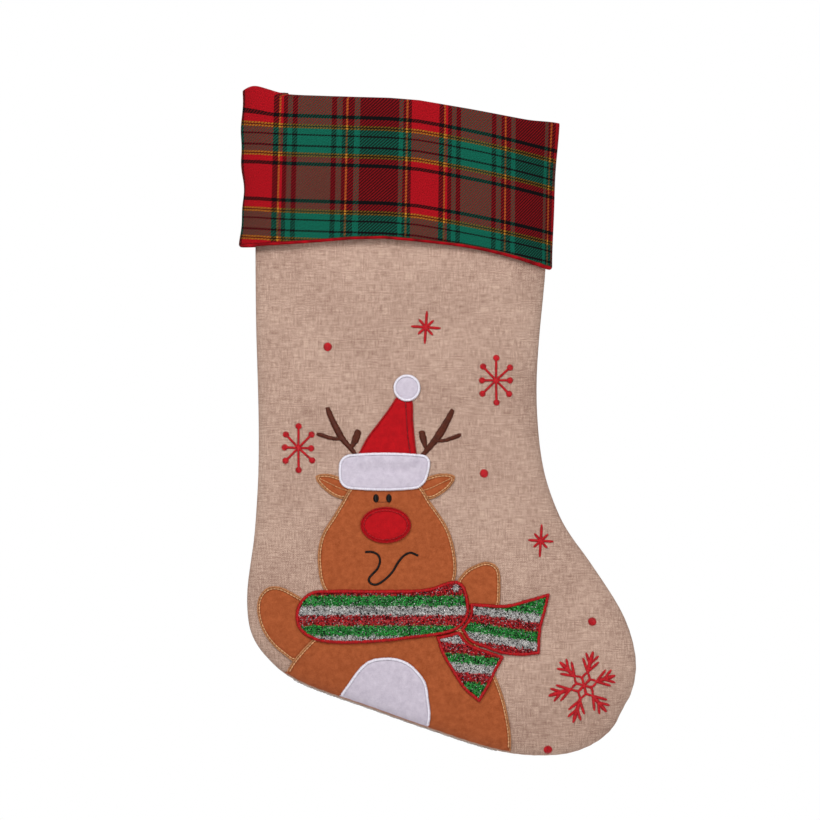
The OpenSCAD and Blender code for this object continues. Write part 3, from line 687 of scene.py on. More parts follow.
def merge(piece):
    """Makes one of the points that lie together, as at the tip of the toe."""
    bm = bmesh.new()
    bm.from_mesh(piece.data)
    bmesh.ops.remove_doubles(bm, verts=bm.verts, dist=0.02 * MM)
    bmesh.ops.dissolve_degenerate(bm, edges=bm.edges, dist=0.001 * MM)
    bm.to_mesh(piece.data)
    bm.free()


linen_front = make_panel("linen_front", "front_panel", 1, 0, linen_cloth, 230, 120, LINEN_T)
linen_back = make_panel("linen_back", "back_panel", -1, 0, linen_cloth, 230, 120, LINEN_T)
LINING_IN, LINING_T = -2.4 * MM, 0.6 * MM
lining_front = make_panel("lining_front", "front_lining", 1, LINING_IN, lining_cloth,
                          110, 60, LINING_T)
lining_back = make_panel("lining_back", "back_lining", -1, LINING_IN, lining_cloth,
                         110, 60, LINING_T)

# %% [markdown]
# ## The tartan cuff
#
# The cuff is a strip of twill sewn inside the mouth, turned over the rim and down, with
# its raw edge folded up again behind. It is drawn as one strip: a profile runs up inside
# the mouth, over the crest, down the face, round the hem and up behind. Near the side
# seams the whole profile closes on the seam, as the rim of a flat bag does.

# %% Crest and hem of the cuff
def rows_of_cuff(node):
    """The upper and the lower edge of a cuff, from the CAD piece's outline: it is split
    at the four points that lie furthest towards its corners."""
    ring = outline_of(node)
    scaled = ring - ring.mean(axis=0)
    scaled[:, 1] *= 1.6
    far = [int(np.argmax(scaled @ np.array(way))) for way in ((-1, -1), (1, -1), (1, 1), (-1, 1))]
    walk = lambda a, b: ring[(a + np.arange((b - a) % len(ring) + 1)) % len(ring)]
    return walk(far[2], far[3])[::-1], walk(far[0], far[1])


def even(path, count):
    """A path in a number of equal steps of its length."""
    along = np.concatenate([[0], np.cumsum(np.linalg.norm(np.diff(path, axis=0), axis=1))])
    at = np.linspace(0, along[-1], count)
    return np.stack([np.interp(at, along, path[:, k]) for k in range(2)], axis=1)


def round_off(share, band):
    """Quarter of an ellipse at each end of a row: 0 at the seam, 1 in the middle."""
    return np.sqrt(1 - np.clip(1 - np.minimum(share, 1 - share) / band, 0, 1) ** 2)


crest, hem = rows_of_cuff("cuff_front")
CUFF_TOP, CUFF_HEM, FOLD_R = 16 * MM, 20 * MM, 1.7 * MM
MOUTH_ROWS, CREST_ROWS, FACE_ROWS, FOLD_ROWS, BACK_ROWS = 10, 12, 89, 12, 23


def make_cuff(name, node, facing_node, side, cols=260):
    """The strip: across it, columns from seam to seam; down it, the five stretches of
    the profile, each with its own number of rows. UV holds the length across and the drop below the crest."""
    edge = (1 - np.cos(np.linspace(0, np.pi, cols))) / 2
    share = 0.5 * edge + 0.5 * np.linspace(0, 1, cols)
    top, low = even(crest, 400), even(hem, 400)
    low = low + np.array([0, 2.6 * MM])
    at = share * 399
    pick = lambda row: np.stack([np.interp(at, np.arange(400), row[:, k]) for k in range(2)], axis=1)
    top, low = pick(top), pick(low)
    bulge = round_off(share, 0.27)
    face_from = MOUTH_ROWS + CREST_ROWS
    fold_from = face_from + FACE_ROWS
    back_from = fold_from + FOLD_ROWS
    v = np.concatenate([np.zeros(face_from), np.linspace(0, 1, FACE_ROWS + 1)[1:], np.ones(FOLD_ROWS),
                        np.linspace(1, 0.06, BACK_ROWS + 1)[1:]])
    turn = np.concatenate([np.zeros(fold_from), np.linspace(0, np.pi, FOLD_ROWS + 1)[1:],
                           np.full(BACK_ROWS, np.pi)])
    mouth = np.concatenate([np.linspace(1, 0, MOUTH_ROWS), np.zeros(len(v) - MOUTH_ROWS)])
    arch = np.concatenate([np.zeros(MOUTH_ROWS), np.linspace(0, 1, CREST_ROWS + 2)[1:-1],
                           np.ones(len(v) - face_from)])
    V, U = np.meshgrid(v, share, indexing="ij")
    M, A, T = (np.broadcast_to(x[:, None], V.shape) for x in (mouth, arch, turn))
    line = top[None] * (1 - V[..., None]) + low[None] * V[..., None]
    inside_by = FOLD_R * (1 - np.cos(T))
    deep = CUFF_TOP + (CUFF_HEM - CUFF_TOP) * np.sqrt(V) - inside_by
    swing = (1 - np.cos(np.pi * A)) / 2
    depth = (swing * deep + (1 - swing) * (DEPTH - 4.4 * MM)) * bulge[None]
    left, right = top[0, 0], top[-1, 0]
    mouth_x = left + 16 * MM + (right - left - 28 * MM) * U
    x = line[..., 0] * swing + mouth_x * (1 - swing) + inside_by * (1 - 2 * U)
    z = line[..., 1] - 12 * MM * M - 1.6 * MM * (1 - np.sin(np.pi * A)) * (A < 1) - FOLD_R * np.sin(T) * 1.1
    flat = np.stack([U.ravel() * 0.22, V.ravel() * 0.105], axis=1)
    ripple = waves(flat, 21 + side, 70 * MM).reshape(V.shape) * 0.55 * MM
    ripple += waves(flat, 23 + side, 26 * MM, 9).reshape(V.shape) * 0.16 * MM
    depth = depth + ripple * bulge[None] * swing
    wobble = 0.9 * MM * (np.sin(V * 10 + 1.0) + 0.5 * np.sin(V * 23)) * np.exp(-U * 60)
    wobble -= 0.5 * MM * np.sin(V * 8) * np.exp((U - 1) * 60)
    flare = np.exp(-((V / 0.36) ** 2)) * swing
    corner = np.exp(-((V / 0.12) ** 2)) * swing
    left_out = 3.0 * MM * flare * np.exp(-U * 34)
    right_out = (4.4 * MM * flare + 1.0 * MM * V) * np.exp((U - 1) * 34)
    x = x + wobble * swing - left_out + right_out
    z = z + 6.2 * MM * corner * np.exp(-(((U - 0.02) / 0.05) ** 2))
    z = z + 2.0 * MM * corner * np.exp(-(((U - 1) / 0.05) ** 2))
    y = SEAM_Y - side * (0.12 * MM + depth)
    # The crest's rounded corner doesn't bend the stripes: they run on straight to the side
    plain = (share > 0.05) & (share < 0.14)
    level = np.where(share < 0.05, np.polyval(np.polyfit(share[plain], top[plain, 1], 1), share), top[:, 1])
    drop = level[None] - line[..., 1] - 12 * MM * M - 4 * MM * (1 - A) * (A < 1)
    drop = drop + FOLD_R * T
    drop[back_from + 1:] += (line[back_from + 1:, :, 1] - low[None, :, 1]) * 2
    mid = face_from + 38
    lengths = np.hypot(np.diff(x[mid]), np.diff(y[mid]))
    across = np.concatenate([[0], np.cumsum(lengths)])
    # The cloth is eased in sewing, so its stripes stand closer towards the toe side
    seen_at = (left + np.array([23.0, 69.5, 110.9, 136.6, 178.7, 208.6]) * MM)
    woven_at = np.array([24.9, 74.6, 113.3, 141.7, 191.4, 230.1]) * MM
    marks = np.interp(seen_at, x[mid], across)
    pattern = np.interp(across, marks, woven_at)
    pattern = np.where(across < marks[0], woven_at[0] - (marks[0] - across) * 0.92, pattern)
    pattern = np.where(across > marks[-1], woven_at[-1] + across - marks[-1], pattern)
    drop = drop - 5 * MM * U**4 * (1 - 0.6 * V)
    # A plain red stripe lies in the fold of the hem
    drop[fold_from:] = np.maximum(drop[fold_from:], 107.5 * MM)
    woven = np.broadcast_to(pattern[None], V.shape).copy()
    woven[fold_from:back_from] = 3 * MM + 0.07 * woven[fold_from:back_from]
    uv = np.stack([woven, drop + 10 * MM], axis=-1)
    points = np.stack([x, y, z], axis=-1).reshape(-1, 3)
    faces = grid_faces(*V.shape)
    faces = faces[:, ::-1] if side > 0 else faces
    piece = build(name, points, [faces], tartan_cloth, (node, facing_node), uv=uv.reshape(-1, 2))
    merge(piece)
    solid = piece.modifiers.new("thickness", "SOLIDIFY")
    solid.thickness = 0.7 * MM
    solid.offset = 0
    return piece


cuff_front = make_cuff("tartan_cuff_front", "cuff_front", "cuff_front_facing", 1)
make_cuff("tartan_cuff_back", "cuff_back", "cuff_back_facing", -1)
print("cuff", [round(v / MM) for v in cuff_front.dimensions], "mm")


# %% [markdown]
# ## Cut felt
#
# Each felt piece is a slab with a rounded edge. Its outline is filled with an even net
# of triangles, so that it can follow the curved face and rise over what lies under it.

# %% A slab laid on the face
def net(ring, pitch):
    """Even triangles that fill a ring: the ring's own points, and points of a triangular
    grid that lie well inside it, joined by a Delaunay triangulation."""
    low, high = ring.min(axis=0), ring.max(axis=0)
    xs = np.arange(low[0], high[0], pitch)
    zs = np.arange(low[1], high[1], pitch * 0.87)
    gx, gz = np.meshgrid(xs, zs)
    gx[1::2] += pitch / 2
    grid = np.stack([gx.ravel(), gz.ravel()], axis=1)
    grid = grid[inside(grid, ring)]
    grid = grid[segment_distance(grid, np.concatenate([ring, ring[:1]]))[0] > 0.6 * pitch]
    points = np.concatenate([ring, grid])
    verts, _, faces, origin, _, _ = delaunay_2d_cdt(
        [Vector(p) for p in (points / MM).tolist()], [], [list(range(len(ring)))], 1, 1e-6)
    new_place = {old: new for new, olds in enumerate(origin) for old in olds}
    border = np.array([new_place[k] for k in range(len(ring))])
    return np.array([v[:] for v in verts])[:, :2] * MM, np.array([f[:] for f in faces]), border


def sheared(ring, by):
    """Offsets a ring inwards along its normals."""
    tangent = np.roll(ring, -1, axis=0) - np.roll(ring, 1, axis=0)
    tangent /= np.maximum(np.linalg.norm(tangent, axis=1, keepdims=True), 1e-9)
    return ring + by * np.stack([-tangent[:, 1], tangent[:, 0]], axis=1)


def slab(name, ring, thick, material, stands_for=(), pitch=2.6 * MM, colour=None, lift=0.05 * MM):
    """A piece of felt or cloth: net on top, rounded edge, the same net below."""
    ring = resample(ring, 1.1 * MM)
    flat, tris, border = net(sheared(ring, 0.35 * MM), pitch)
    edge = segment_distance(flat, np.concatenate([ring, ring[:1]]))[0]
    base = ground(flat) + lift
    soft = waves(flat, 31, 9 * MM) * 0.05 * MM
    top_h = base + thick * (0.72 + 0.28 * np.clip(edge / (2.2 * MM), 0, 1)) + soft
    ring_base = ground(ring) + lift
    row_1 = skin(sheared(ring, 0.08 * MM), ring_base + thick * 0.55)
    row_2 = skin(ring, ring_base + thick * 0.25)
    low_flat = flat.copy()
    low_flat[border] = sheared(ring, 0.06 * MM)
    points = np.concatenate([skin(flat, top_h), skin(low_flat, base), row_1, row_2])
    n, m = len(flat), len(ring)
    i, j = np.arange(m), (np.arange(m) + 1) % m
    rows = [border, 2 * n + np.arange(m), 2 * n + m + np.arange(m), n + border]
    walls = [np.stack([a[i], b[i], b[j], a[j]], axis=1) for a, b in zip(rows[:-1], rows[1:])]
    tint = None
    if colour is not None:
        tint = np.concatenate([colour(q) for q in (flat, flat, ring, ring)])
        tint = np.concatenate([tint, np.ones((len(tint), 1))], axis=1)
    piece = build(name, points, [tris, tris[:, ::-1] + n, np.concatenate(walls)], material,
                  stands_for, tint=tint)
    placed.append((ring, thick))
    return ring


# %% [markdown]
# ## Threads
#
# Every stitch that shows is a short tube of its own. Ends of the tube dip into the cloth
# and its middle stands up, so that a row of them catches the light as satin stitch does.

# %% Tubes along short lines
def tubes(name, points, normals, radius, material, stands_for=(), flat=0.7):
    """Four-sided tubes: for each thread a row of stations, its section a diamond of
    the radius across and flat times the radius upwards."""
    count, stations, _ = points.shape
    unit = lambda v: v / np.maximum(np.linalg.norm(v, axis=-1, keepdims=True), 1e-12)
    along = unit(np.gradient(points, axis=1))
    across = unit(np.cross(along, normals))
    up = np.cross(across, along)
    taper = 1 - 0.5 * np.abs(np.linspace(-1, 1, stations)) ** 3
    wide = np.broadcast_to(np.asarray(radius), (count,))[:, None, None] * taper[None, :, None]
    section = [across * wide, up * wide * flat, -across * wide, -up * wide * flat]
    tube = np.stack([points + s for s in section], axis=2).reshape(-1, 3)
    i = (np.arange(count) * stations * 4)[:, None, None]
    s = (np.arange(stations - 1) * 4)[None, :, None]
    k = np.arange(4)[None, None]
    a, b = i + s + k, i + s + (k + 1) % 4
    sides = np.stack([a, a + 4, b + 4, b], axis=-1).reshape(-1, 4)
    first = np.arange(count)[:, None] * stations * 4 + np.arange(4)[None]
    caps = np.concatenate([first, first[:, ::-1] + (stations - 1) * 4])
    tone = np.random.default_rng(len(name)).uniform(0, 1, count)
    tint = np.repeat(np.stack([tone, tone, tone, np.ones(count)], axis=1), stations * 4, axis=0)
    return build(name, tube, [sides, caps], material, stands_for, tint=tint)


def stitches(name, ends, material, stands_for=(), lift=0.5 * MM, radius=0.26 * MM, stations=5):
    """Threads between pairs of places on the face. Their height over what is placed
    there follows a half sine."""
    t = np.linspace(0, 1, stations)[None, :, None]
    flat = (ends[:, None, 0] * (1 - t) + ends[:, None, 1] * t).reshape(-1, 2)
    rise = np.tile(np.sin(np.linspace(0, np.pi, stations)) ** 0.6, len(ends))
    height = ground(flat) + 0.1 * MM + lift * rise
    low, high = skin(flat, height), skin(flat, height + MM)
    shape = (len(ends), stations, 3)
    return tubes(name, low.reshape(shape), (high - low).reshape(shape), radius, material, stands_for)


def crossing(path, inner, outer, pitch, closed=True, ragged=0.12 * MM, lean=0.0, seed=5):
    """Ends of satin stitches across a line: from inner on its left to outer on its
    right. Both may change along the line. Ragged ends and a lean keep them lifelike."""
    line = resample(path, pitch, closed)
    way = np.roll(line, -1, axis=0) - np.roll(line, 1, axis=0) if closed else np.gradient(line, axis=0)
    way /= np.maximum(np.linalg.norm(way, axis=1, keepdims=True), 1e-9)
    left = np.stack([-way[:, 1], way[:, 0]], axis=1)
    draw = np.random.default_rng(seed)
    jitter = draw.uniform(-ragged, ragged, (2, len(line), 1))
    share = np.linspace(0, 1, len(line))
    wide = lambda w: (w(share) if callable(w) else np.full(len(line), w))[:, None]
    a = line + left * (wide(inner) + jitter[0]) + way * lean
    b = line - left * (wide(outer) + jitter[1]) - way * lean
    return np.stack([a, b], axis=1)


def running(path, length=2.4 * MM, closed=True):
    """Ends of straight stitches, one after another along a line."""
    line = resample(path, length, closed)
    nxt = np.roll(line, -1, axis=0)
    ends = np.stack([line, nxt], axis=1)
    return ends if closed else ends[:-1]


def filled(ring, pitch=0.45 * MM, angle=25, over=0.15 * MM):
    """Parallel satin stitches that fill a round or oval shape."""
    c, s = np.cos(np.radians(angle)), np.sin(np.radians(angle))
    turn = np.array([[c, -s], [s, c]])
    p = ring @ turn
    rows = np.arange(p[:, 1].min() + pitch / 2, p[:, 1].max(), pitch)
    a, b = p, np.roll(p, -1, axis=0)
    cut = (a[None, :, 1] > rows[:, None]) != (b[None, :, 1] > rows[:, None])
    rise = np.where(np.abs(b[:, 1] - a[:, 1]) < 1e-12, 1e-12, b[:, 1] - a[:, 1])
    x = a[None, :, 0] + (rows[:, None] - a[None, :, 1]) * (b - a)[None, :, 0] / rise[None]
    left = np.where(cut, x, np.inf).min(axis=1) - over
    right = np.where(cut, x, -np.inf).max(axis=1) + over
    ends = np.stack([np.stack([left, rows], axis=1), np.stack([right, rows], axis=1)], axis=1)
    return ends @ turn.T


def curve(points, steps=10):
    """Open Catmull-Rom curve through a few points given in millimetres."""
    p = np.array(points, dtype=float) * MM
    p = np.concatenate([2 * p[:1] - p[1:2], p, 2 * p[-1:] - p[-2:-1]])
    t = np.linspace(0, 1, steps, endpoint=False)[None, :, None]
    p0, p1, p2, p3 = (p[k:len(p) - 3 + k][:, None] for k in range(4))
    line = 0.5 * (2 * p1 + (p2 - p0) * t + (2 * p0 - 5 * p1 + 4 * p2 - p3) * t**2
                  + (3 * p1 - p0 - 3 * p2 + p3) * t**3)
    return np.concatenate([line.reshape(-1, 2), p[-2:-1]])


# %% [markdown]
# ## Snow and antlers
#
# These are sewn on the linen itself, before any felt is put down. Antlers are satin
# stitch whose width grows towards the tips, with ends that aren't quite even.

# %% Antlers
def antler(name, node, branches):
    """Satin stitch along each branch: widths at its start, middle and end."""
    ends = []
    for k, (points, widths) in enumerate(branches):
        steps = np.array([widths[0], widths[1], widths[2], widths[2] * 0.7]) * MM * 0.68
        half = lambda s, steps=steps: np.interp(s, [0, 0.5, 0.9, 1], steps)
        ends.append(crossing(curve(points), half, half, 0.36 * MM, False, 0.28 * MM, 0.25 * MM, 40 + k))
    return stitches(name, np.concatenate(ends), brown_thread, (node,), 0.6 * MM, 0.25 * MM)


antler("left_antler_satin", "left_antler", [
    ([(54.5, -252), (48.7, -244.7), (43.5, -238.7), (39.2, -230.9), (35.8, -224), (33.5, -217.2)],
     (1.9, 3.4, 2.9)),
    ([(43.5, -239), (37.5, -238.6), (33.2, -237.5), (26.3, -235.2)], (1.4, 2.0, 2.1)),
    ([(49.3, -245.4), (51.6, -241.5), (53, -238.2), (54.8, -232.8)], (1.4, 3.8, 3.6))])
antler("right_antler_satin", "right_antler", [
    ([(97, -252), (103.9, -243.9), (110, -236.1), (115.1, -227.5), (119.6, -218.8)], (2.0, 4.1, 3.0)),
    ([(108, -240.2), (113, -240), (117.7, -238.7), (125, -236)], (1.4, 2.0, 2.2)),
    ([(100.8, -245), (99.9, -241.5), (99.3, -238.7), (98, -233.2)], (1.4, 3.6, 3.2))])


# %% Snowflakes, stars and dots
def centre(node):
    """Middle of a node's box, in x and z."""
    low, high = (np.array(c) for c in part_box(node))
    return ((low + high) / 2)[[0, 2]]


def ray(at, angle, start, end):
    """A straight line out from a point."""
    way = np.array([np.cos(np.radians(angle)), np.sin(np.radians(angle))])
    return np.stack([at + way * start * MM, at + way * end * MM])


def disc(at, radius, steps=20):
    """A ring of points round a place, with its radius in millimetres."""
    a = np.linspace(0, 2 * np.pi, steps, endpoint=False)
    return at + radius * MM * np.stack([np.cos(a), np.sin(a)], axis=1)


def arms(lines, half):
    """Satin stitch along straight lines, narrower at both ends."""
    shape = lambda s: np.interp(s, [0, 0.15, 0.8, 1], [0.7, 1, 1, 0.55]) * half * MM
    return [crossing(line, shape, shape, 0.38 * MM, False, 0.07 * MM, 0.12 * MM, 60 + k)
            for k, line in enumerate(lines)]


def embroider(name, node, parts):
    """One piece of red satin stitch from several groups of stitches."""
    return stitches(name, np.concatenate(parts), red_thread, (node,), 0.5 * MM, 0.24 * MM)


for name, lengths, tilt in (("upper_star", (10, 7, 11), -4), ("lower_star", (8.5, 6.5, 11), -4)):
    at = centre(name)
    reach = [lengths[2] if k % 4 == 2 else lengths[0] if k % 4 == 0 else lengths[1] for k in range(8)]
    embroider(name + "_satin", name, arms([ray(at, 45 * k + tilt, 0.3, reach[k]) for k in range(8)], 0.95))

for name, seed in (("left_snowflake", 3), ("right_snowflake", 4)):
    at = centre(name)
    draw = np.random.default_rng(seed)
    lines, knots = [], [filled(disc(at, 1.5), angle=10)]
    for k in range(8):
        reach = (15.3 if k % 4 == 2 else 9.2 if k % 4 == 0 else 12.6) + draw.uniform(-0.5, 0.5)
        angle = 45 * k + draw.uniform(-3, 3)
        lines.append(ray(at, angle, 0.2, reach))
        knots.append(filled(disc(ray(at, angle, 0, reach)[1], 2.15), angle=35 * k))
    embroider(name + "_satin", name, arms(lines, 0.85) + knots)

at = np.array([209.9, -408.4]) * MM
lines, barbs = [], []
for angle, reach in ((75, 23.9), (17, 22.3), (-50, 24.0), (-106, 26.7), (-164, 25.3), (136, 23.2)):
    lines.append(ray(at, angle, 8.5, reach))
    for share, length in ((0.40, 10.0), (0.64, 8.0)):
        foot = ray(at, angle, 0, reach * share)[1]
        barbs += [ray(foot, angle + turn, 0, length) for turn in (-34, 34)]
# The middle is a ring of six open petals: two bowed lines from the centre to each tip
petals = []
for angle in (75, 17, -50, -106, -164, 136):
    tip = ray(at, angle, 0, 9.5)[1]
    for turn in (-27, 27):
        bow = ray(at, angle + turn, 0, 5.6)[1]
        petals.append(curve(np.stack([at, bow, tip]) / MM, 5))
embroider("toe_snowflake_satin", "toe_snowflake", arms(lines, 1.45) + arms(barbs, 1.0) + arms(petals, 0.85))
dot_rings = [ring for ring in (disc(np.array(p) * MM, 2.9) for p in
             ((33.5, -175.5), (141, -262.5), (215.5, -364.5), (185.2, -453.2)))]
embroider("snow_dots_satin", "snow_dots", [filled(r, angle=30 * k) for k, r in enumerate(dot_rings)])

# %% [markdown]
# ## The reindeer
#
# Brown felt is laid in the order it is sewn: arms and ears first, then the body and the
# head over them. A line of tan thread runs just inside each edge, and the edge itself is
# oversewn in a darker tan.

# %% Brown felt and its edging
edge_thread = thread("brown_edge_thread", "#C98A5A", roughness=0.6, spread=0.25)


def within_seam(ring, by):
    """Moves the points of a ring that come nearer to the seam than a distance inwards."""
    d, _, g = segment_distance(ring, seam_line)
    sign = np.where(inside(ring, seam_line) | (d < 0.05 * MM), 1.0, -1.0)
    foot = ring - g * d[:, None]
    return foot + g * (sign * np.maximum(sign * d, by))[:, None]


def edged(name, node, stitch_node, ring, felt_cloth, slot, line_thread, line_slot, inner, outer=0.35 * MM,
          line=None, pitch=0.55 * MM, thick=FELT_T, edge=None, inset=2.0 * MM):
    """A felt piece, its oversewn edge, and if line is given a row of stitches that far
    inside the edge."""
    ring = slab(name, within_seam(ring, inset), thick, felt_cloth, (node,))
    nodes = (stitch_node,) if stitch_node else ()
    if line is not None:
        lane = running(sheared(ring, line))
        lane = lane[segment_distance(lane.mean(axis=1), seam_line)[0] > 4.5 * MM]
        stitches(name + "_line", lane, line_thread, nodes, 0.5 * MM, 0.5 * MM)
        nodes = ()
    ends = crossing(ring, inner, outer, pitch, lean=0.15 * MM)
    ends = ends[segment_distance(ends.mean(axis=1), seam_line)[0] > inset + 1.2 * MM]
    stitches(name + "_edge", ends, edge or line_thread, nodes, 0.32 * MM, 0.26 * MM)
    return ring


def brown(node, thick=FELT_T):
    return edged(node + "_felt", node, node + "_stitching", smooth_loop(outline_of(node), 5), brown_felt,
                 "brown_felt", tan_thread, "tan_thread", 0.9 * MM, 0.35 * MM, 1.45 * MM, thick=thick,
                 edge=edge_thread)


for part in ("left_arm", "right_arm"):
    brown(part)
for part in ("left_ear", "right_ear"):
    ear = brown(part, 0.8 * MM)
    low, high = ear.min(axis=0) / MM, ear.max(axis=0) / MM
    mirror = part == "right_ear"
    fold = [(0.10, 0.82), (0.38, 0.62), (0.66, 0.42), (0.95, 0.30)]
    fold = [(high[0] - f * (high[0] - low[0]) if mirror else low[0] + f * (high[0] - low[0]),
             low[1] + g * (high[1] - low[1])) for f, g in fold]
    fold_line = running(curve(fold), 2.2 * MM, False)
    stitches(part + "_fold", fold_line, edge_thread, (), 0.35 * MM, 0.4 * MM)
brown("torso")
brown("head")
print("laid so far:", len(placed), "pieces")

# %% Seam thread along the sole
sole = seam_line[(seam_line[:, 1] < -402 * MM) & (seam_line[:, 0] < 165 * MM)]
sole_thread = thread("sole_seam_thread", "#6E5348", roughness=0.7)
sole_line = running(sheared(sole, 0.25 * MM)[1:-1], 2.4 * MM, False)
stitches("sole_seam_line", sole_line, sole_thread, (), 0.25 * MM, 0.32 * MM)

# %% Belly, hat and nose
white_edge = dict(felt_cloth=white_felt, slot="white_felt", line_thread=white_thread,
                  line_slot="white_thread", inner=1.5 * MM, outer=0.4 * MM, pitch=0.42 * MM, inset=3.0 * MM)
belly = smooth_loop(outline_of("belly_patch"), 5)
edged("belly_felt", "belly_patch", "belly_stitching", belly, **white_edge)
cone_ring = smooth_loop(outline_of("hat_cone"), 5)
edged("cone_felt", "hat_cone", "hat_cone_stitching", cone_ring, red_felt, "red_felt", satin_thread,
      "red_thread", 0.8 * MM, 0.3 * MM, pitch=0.5 * MM)
cone_line = running(curve([(90.5, -250.5), (88.6, -237), (87.7, -224.5), (87, -213)]), 2.2 * MM, False)
dark_red_thread = thread("dark_red_thread", "#8E1018")
stitches("cone_inner_line", cone_line, dark_red_thread, (), 0.3 * MM, 0.4 * MM)
brim = smooth_loop(outline_of("hat_brim"), 5)
mid = (brim.min(axis=0) + brim.max(axis=0)) / 2
reach = np.clip((brim[:, 0] - mid[0]) / (28 * MM), 0, 1) ** 2
brim[:, 0] += reach * ((brim[:, 1] - mid[1]) * 0.24 - 0.4 * MM)
edged("brim_felt", "hat_brim", "brim_stitching", brim, **white_edge)
pompom = smooth_loop(outline_of("hat_pompom"), 4)
edged("pompom_felt", "hat_pompom", "pompom_stitching", pompom, **white_edge)
nose = smooth_loop(outline_of("nose"), 4)
nose_thread = thread("nose_line_thread", "#A80C16", roughness=0.5)
edged("nose_felt", "nose", None, nose, red_felt, "red_felt", satin_thread, "red_thread", 0.7 * MM,
      0.25 * MM, pitch=0.5 * MM)
nose_line = running(sheared(resample(nose, 1.1 * MM), 2.2 * MM))
stitches("nose_line", nose_line, nose_thread, ("nose_stitching",), 0.35 * MM, 0.5 * MM)

# %% Face
for part in ("left_eye", "right_eye"):
    oval = smooth_loop(outline_of(part), 3)
    stitches(part + "_satin", filled(oval, 0.4 * MM, 0), black_thread, (part,), 0.7 * MM)
mouth_path = curve([(59.5, -316.5), (64, -316.5), (68, -318.5), (69.5, -322.5), (68, -327.5), (65, -331),
                    (62, -334.5), (62.5, -337.5), (66, -339), (70, -337.5), (74.5, -334), (78.5, -329.5),
                    (82, -323.5), (86, -319), (90.5, -317), (95.5, -319)])
stitches("mouth_satin", crossing(mouth_path, 0.8 * MM, 0.8 * MM, 0.38 * MM, False, 0.06 * MM, 0.15 * MM),
         black_thread, ("mouth",), 0.5 * MM, 0.24 * MM)
jump = running(curve([(67, -281.9), (71, -282.3), (75.3, -281.9)]), 2.8 * MM, False)
stitches("eye_jump_thread", jump, brown_thread, (), 0.2 * MM, 0.16 * MM)

# %% [markdown]
# ## The glitter scarf
#
# The scarf is striped cloth covered with foil glitter, edged with wide red satin stitch.
# The wrap goes round the neck, and two tails hang from the knot. Stripe colours are
# looked up from the height on the scarf, with a little unevenness, as the glue runs.

# %% Stripes
SILVER, SCARF_GREEN, SCARF_RED = (np.array(linear(h)[:3]) for h in ("#E6E2DE", "#2A9A3C", "#C8141E"))


def stripes(p, bounds, colours, slope=0.0, x0=0.0):
    """Colour by the height z, tilted by a slope, between falling bounds in mm."""
    q = p[:, 1] / MM + slope * (p[:, 0] / MM - x0) + waves(p, 77, 5 * MM) * 0.35
    index = sum((q < b).astype(int) for b in bounds)
    return np.array(colours)[index]


def wrap_colour(p):
    base = stripes(p, (-346.4, -353.7, -360.1, -366.9, -374.1),
                   (SCARF_RED, SCARF_GREEN, SILVER, SCARF_RED, SCARF_GREEN, SILVER))
    spot = (np.hypot(p[:, 0] / MM - 121.5, p[:, 1] / MM + 341.3) < 2.4)[:, None]
    return np.where(spot, SILVER, base)


def upper_colour(p):
    return stripes(p, (-353.1, -358.6, -365.0, -371.9, -377.6),
                   (SCARF_GREEN, SILVER, SCARF_RED, SCARF_GREEN, SILVER, SCARF_RED), 0.142, 132.4)


def lower_colour(p):
    return stripes(p, (-380.1, -387.4, -393.4, -399.6, -405.7),
                   (SILVER, SCARF_RED, SCARF_GREEN, SILVER, SCARF_RED, SCARF_GREEN), 0.1, 131.5)


def flakes(name, ring, colour, per_mm2, edge=1.1 * MM, seed=9):
    """Foil flakes: small square pyramids, point down, at seeded places inside the ring,
    each tilted and turned at random."""
    draw = np.random.default_rng(seed)
    low, high = ring.min(axis=0), ring.max(axis=0)
    size = (high - low) / MM
    p = draw.uniform(low, high, (int(size[0] * size[1] * per_mm2), 2))
    p = p[inside(p, ring)]
    p = p[segment_distance(p, np.concatenate([ring, ring[:1]]))[0] > edge]
    count = len(p)
    height = ground(p) + 0.15 * MM + draw.uniform(0, 0.35, count) * MM
    middle = skin(p, height)
    normal = skin(p, height + MM) - middle
    normal = normal / MM + draw.normal(0, 0.42, (count, 3))
    normal /= np.linalg.norm(normal, axis=1, keepdims=True)
    side = np.cross(normal, draw.normal(0, 1, (count, 3)))
    side /= np.linalg.norm(side, axis=1, keepdims=True)
    other = np.cross(normal, side)
    half = draw.uniform(0.35, 0.75, (count, 1)) * MM
    corners = [middle + half * (a * side + b * other) for a, b in ((1, 0), (0, 1), (-1, 0), (0, -1))]
    corners.append(middle - normal * 0.12 * MM)
    points = np.stack(corners, axis=1).reshape(-1, 3)
    start = np.arange(count)[:, None] * 5
    top = start + np.array([[0, 1, 2, 3]])
    under = np.concatenate([start + np.array([[(k + 1) % 4, k, 4]]) for k in range(4)])
    hue = colour(p + draw.normal(0, 0.5 * MM, p.shape))
    # Painted light: each flake's colour is scaled from near black (painted shade) to over bright (painted
    # glint), and some flakes are whitened as painted glints
    tone = draw.choice([0.04, 0.25, 0.9, 2.2], count, p=[0.20, 0.24, 0.29, 0.27])[:, None]
    hue = hue * tone
    painted_glint = draw.uniform(0, 1, (count, 1)) < 0.11
    hue = np.where(painted_glint, 0.5 * hue + 0.5, hue)
    tint = np.concatenate([np.clip(hue, 0, 1), np.ones((count, 1))], axis=1)
    return build(name, points, [top, under], glitter_foil, (), tint=np.repeat(tint, 5, axis=0))


